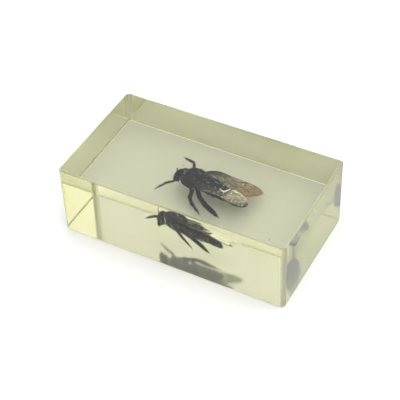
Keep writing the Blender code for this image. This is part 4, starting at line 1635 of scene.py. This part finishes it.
@dataclass(frozen=True)
class TrappedAirAndDust:
    """What the resin shut in with the bee: air as froth, streaks, bubbles and specks, a few crumbs of plants, and a
    loose hair. The films of air round the wings are the wings' own."""

    # froth between the neck and the near foreleg's hip, as middles with radii
    neck_froth: tuple = ((-2.85, -3.35, 0.55, 0.24), (-2.75, -3.4, 0.1, 0.3), (-2.6, -3.35, -0.4, 0.26))
    froth_form: tuple[float, float, float] = (0.7, 1.0, 1.2)
    # silver streaks, as points with half widths: one over the root of the near wing's pale end, one along the far
    # wing's inner margin
    streaks: tuple = (
        ((9.0, -0.9, 1.05, 0.05), (9.8, -1.4, 1.0, 0.16), (10.8, -1.8, 0.9, 0.30), (11.3, -1.1, 0.85, 0.24),
         (11.7, -0.3, 0.8, 0.17), (12.0, 0.5, 0.75, 0.05)),
        ((3.9, 3.6, 1.25, 0.03), (6.0, 2.7, 1.1, 0.07), (8.0, 2.1, 0.85, 0.09), (10.0, 1.5, 0.55, 0.08),
         (12.0, 0.8, 0.25, 0.03)),
    )
    streak_flatness: float = 0.6
    # bubbles against the bee's back and sides, as middles with radii
    bubbles: tuple = (
        (-2.2, -1.2, 3.3, 0.22), (0.9, -1.6, 3.35, 0.2), (-2.9, -2.6, 1.6, 0.16), (-0.6, -3.9, 0.9, 0.2),
        (2.4, -3.4, 1.9, 0.14), (6.3, -0.6, 1.95, 0.2), (3.3, 3.2, 1.9, 0.13))
    bubble_form: tuple[float, float, float] = (1.0, 1.0, 0.8)
    # crumbs all over the block, as middles with radii, in the block's millimetres
    crumbs: tuple = (
        (-33.5, -6.3, 9.0, 0.16), (-8.9, 1.8, 10.75, 0.2), (-7.95, 3.95, 10.35, 0.16), (28.5, -13.0, 12.0, 0.14),
        (-27.0, -16.0, 15.0, 0.1), (16.0, 2.2, 8.6, 0.08))
    crumb_form: tuple[float, float, float] = (1.3, 1.0, 0.8)
    loose_hair: tuple = ((20.9, 4.3, -0.95), (21.9, 3.9, -1.0), (22.7, 3.5, -1.15))
    loose_hair_radii: tuple[float, float] = (0.07, 0.03)      # mm at its ends
    specks: int = 520
    speck_radius: tuple[float, float] = (0.05, 0.12)          # mm
    speck_height: tuple[float, float] = (0.4, 0.8)            # mm that a speck floats over the skin
    seed: int = 31

    def beads(self, places: tuple, form: Sequence[float], lift: Callable[[Array], Array] | None = None) -> Shape:
        """Small rounded lumps in one surface.

        Args:
            places: the middle of each with its radius.
            form: each axis over that radius.
            lift: as for an ellipsoid, for lumps that aren't smooth.

        Returns:
            The lumps, in the frame of the places.
        """
        return joined([ellipsoid((x, y, z), [share * r for share in form], 20, 14, lift) for x, y, z, r in places])

    def build(self, bee: "Bee") -> None:
        """Add the air and the dust.

        Args:
            bee: the insect that holds the specks in its fur.
        """
        air = TrappedAir().material()
        froth = TrappedAir("air_froth", clear=0.25, roughness=0.3).material()
        add_to_bee("neck_froth", self.beads(self.neck_froth, self.froth_form), froth, RESIN_SLOT)
        streaks = [tube_along(route, 60, 20, self.streak_flatness) for route in self.streaks]
        add_to_bee("silver_streaks", joined(streaks), froth, RESIN_SLOT)
        add_to_bee("air_bubbles", self.beads(self.bubbles, self.bubble_form), air, RESIN_SLOT)
        add_to_bee("air_specks", self.specks_on(bee), froth, RESIN_SLOT)
        dust = self.beads(self.crumbs, self.crumb_form, self.knobs)
        line = curve_at(np.array(self.loose_hair), np.linspace(0, len(self.loose_hair) - 1, 20))
        fibre = swept(line, np.linspace(*self.loose_hair_radii, len(line)), 8)
        add_piece("plant_dust", joined([dust, fibre.placed(in_block)]), PlantGrain().material(), BEE_SLOT, "bee")

    def specks_on(self, bee: "Bee") -> Shape:
        """Bubbles finer than a pin's head, caught in the fur.

        Args:
            bee: the insect.

        Returns:
            The specks round its thorax and abdomen.
        """
        rng = np.random.default_rng(self.seed)
        skin = joined([bee.thorax.skin(), bee.abdomen.skin()])
        roots, normal = scattered(rng, skin, self.specks)
        radii = rng.uniform(*self.speck_radius, self.specks)
        middles = roots + normal * rng.uniform(*self.speck_height, (self.specks, 1))
        return repeated(ellipsoid((0, 0, 0), (1, 1, 1), 8, 5), middles, radii)

    def knobs(self, p: Array) -> Array:
        """Lumps of a crumb: the sum of three crossed sine waves, up to 0.09 mm high together."""
        return 0.03 * (np.sin(p[..., 0] * 31) + np.sin(p[..., 1] * 43 + 1) + np.sin(p[..., 2] * 37 + 2))


@dataclass(frozen=True)
class Bee:
    """The whole insect, laid in the block."""

    head: Head = Head()
    thorax: Thorax = Thorax()
    abdomen: Abdomen = Abdomen()
    legs: tuple[Leg, ...] = LEGS
    wings: tuple[Wing, ...] = WINGS

    def build(self) -> None:
        """Add every piece of the bee."""
        cuticle = BlackCuticle().material()
        hair = BeeHair().material()
        vein = WingVein().material()
        self.head.build(cuticle, hair)
        self.thorax.build(cuticle, hair)
        self.abdomen.build(cuticle, hair)
        for leg in self.legs:
            leg.build(cuticle, hair)
        for wing in self.wings:
            wing.build(vein)


# ---------------------------------------------------------------- the studio

@dataclass(frozen=True)
class Studio:
    """Camera, paper and light: a bright soft ceiling, softer walls, and a brighter wall behind to the right."""

    azimuth: float = 29.797       # degrees round from the front to the right
    elevation: float = 43.645     # degrees over the horizon
    roll: float = -2.518          # degrees
    position: tuple[float, float, float] = (128.280, -225.083, 257.195)   # mm
    focal_pixels: float = 1201.46
    image_pixels: float = 400.0
    sensor: float = 36.0          # mm
    wall: tuple[float, float, float] = (0.90, 0.90, 0.90)     # radiance of the walls
    # each softer or brighter patch of light: the way to its middle, the cosines at which it starts and is full,
    # and what it adds to the walls
    patches: tuple = (
        ((0.13, -0.05, 0.99), 0.86, 0.975, (2.75, 2.75, 2.7)),
        ((0.48, 0.56, 0.68), 0.90, 0.985, (1.0, 0.98, 1.1)),
        ((-0.38, 0.62, 0.69), 0.88, 0.98, (0.3, 0.3, 0.38)),
        ((-0.95, -0.10, 0.25), 0.30, 0.90, (-0.25, -0.25, -0.25)),
    )
    floor_gap: float = 0.1        # mm of clearance under the block
    floor_size: float = 3.0       # metres

    def camera(self) -> None:
        """Stand the camera where the photograph was taken from."""
        az, el, roll = (math.radians(each) for each in (self.azimuth, self.elevation, self.roll))
        back = Vector((math.sin(az) * math.cos(el), -math.cos(az) * math.cos(el), math.sin(el)))
        right = Vector((math.cos(az), math.sin(az), 0))
        up = back.cross(right)
        across = math.cos(roll) * right + math.sin(roll) * up
        upward = -math.sin(roll) * right + math.cos(roll) * up
        stand = Matrix((across, upward, back)).transposed().to_4x4()
        stand.translation = Vector(self.position) * MM
        lens = bpy.data.cameras.new("camera")
        lens.sensor_width = self.sensor
        lens.lens = self.focal_pixels / self.image_pixels * self.sensor
        lens.clip_start = 0.01
        camera = bpy.data.objects.new("camera", lens)
        bpy.context.scene.collection.objects.link(camera)
        camera.matrix_world = stand
        bpy.context.scene.camera = camera

    def paper(self) -> None:
        """Lay the paper under the block."""
        half = self.floor_size / 2
        corners = [(-half, -half), (half, -half), (half, half), (-half, half)]
        mesh = bpy.data.meshes.new("paper_floor")
        mesh.from_pydata([(x, y, -self.floor_gap * MM) for x, y in corners], [], [(0, 1, 2, 3)])
        mesh.materials.append(PaperSweep().material())
        floor = bpy.data.objects.new("paper_floor", mesh)
        bpy.context.scene.collection.objects.link(floor)

    def light(self) -> None:
        """Light the scene by its walls and ceiling.

        Each patch of light adds its own strength times a smooth step of the cosine between the way looked and the
        way to its middle.
        """
        world = bpy.data.worlds.new("studio")
        bpy.context.scene.world = world
        world.use_nodes = True
        tree = world.node_tree
        way = add_node(tree, "ShaderNodeTexCoord").outputs["Generated"]
        light = self.wall
        for middle, start, full, strength in self.patches:
            towards = add_node(tree, "ShaderNodeVectorMath", {0: way, 1: tuple(Vector(middle).normalized())},
                               operation="DOT_PRODUCT").outputs["Value"]
            share = add_node(tree, "ShaderNodeMapRange", {
                "Value": towards, "From Min": start, "From Max": full}, interpolation_type="SMOOTHSTEP").outputs[0]
            light = add_node(tree, "ShaderNodeVectorMath", {0: share, 1: strength, 2: light},
                             operation="MULTIPLY_ADD").outputs[0]
        tree.links.new(light, tree.nodes["Background"].inputs["Color"])

    def view(self) -> None:
        """Plain colours, and enough bounces to see through the block and the wings in it."""
        scene = bpy.context.scene
        scene.view_settings.view_transform = "Standard"
        scene.view_settings.look = "None"
        scene.cycles.max_bounces = 28
        scene.cycles.transmission_bounces = 28
        scene.cycles.glossy_bounces = 12
        scene.cycles.diffuse_bounces = 5
        scene.cycles.transparent_max_bounces = 32

    def build(self) -> None:
        """Set up the studio."""
        self.camera()
        self.paper()
        self.light()
        self.view()


def main() -> None:
    """Build the block, the bee and what is shut in with it, then the studio."""
    logging.basicConfig(level=logging.INFO, format="%(message)s")
    lower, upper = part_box("resin_lower"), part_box("resin_upper")
    ResinBlock(np.array(lower[0]) / MM, np.array(upper[1]) / MM).build()
    bee = Bee()
    bee.build()
    TrappedAirAndDust().build(bee)
    Studio().build()


if __name__ == "__main__":
    main()
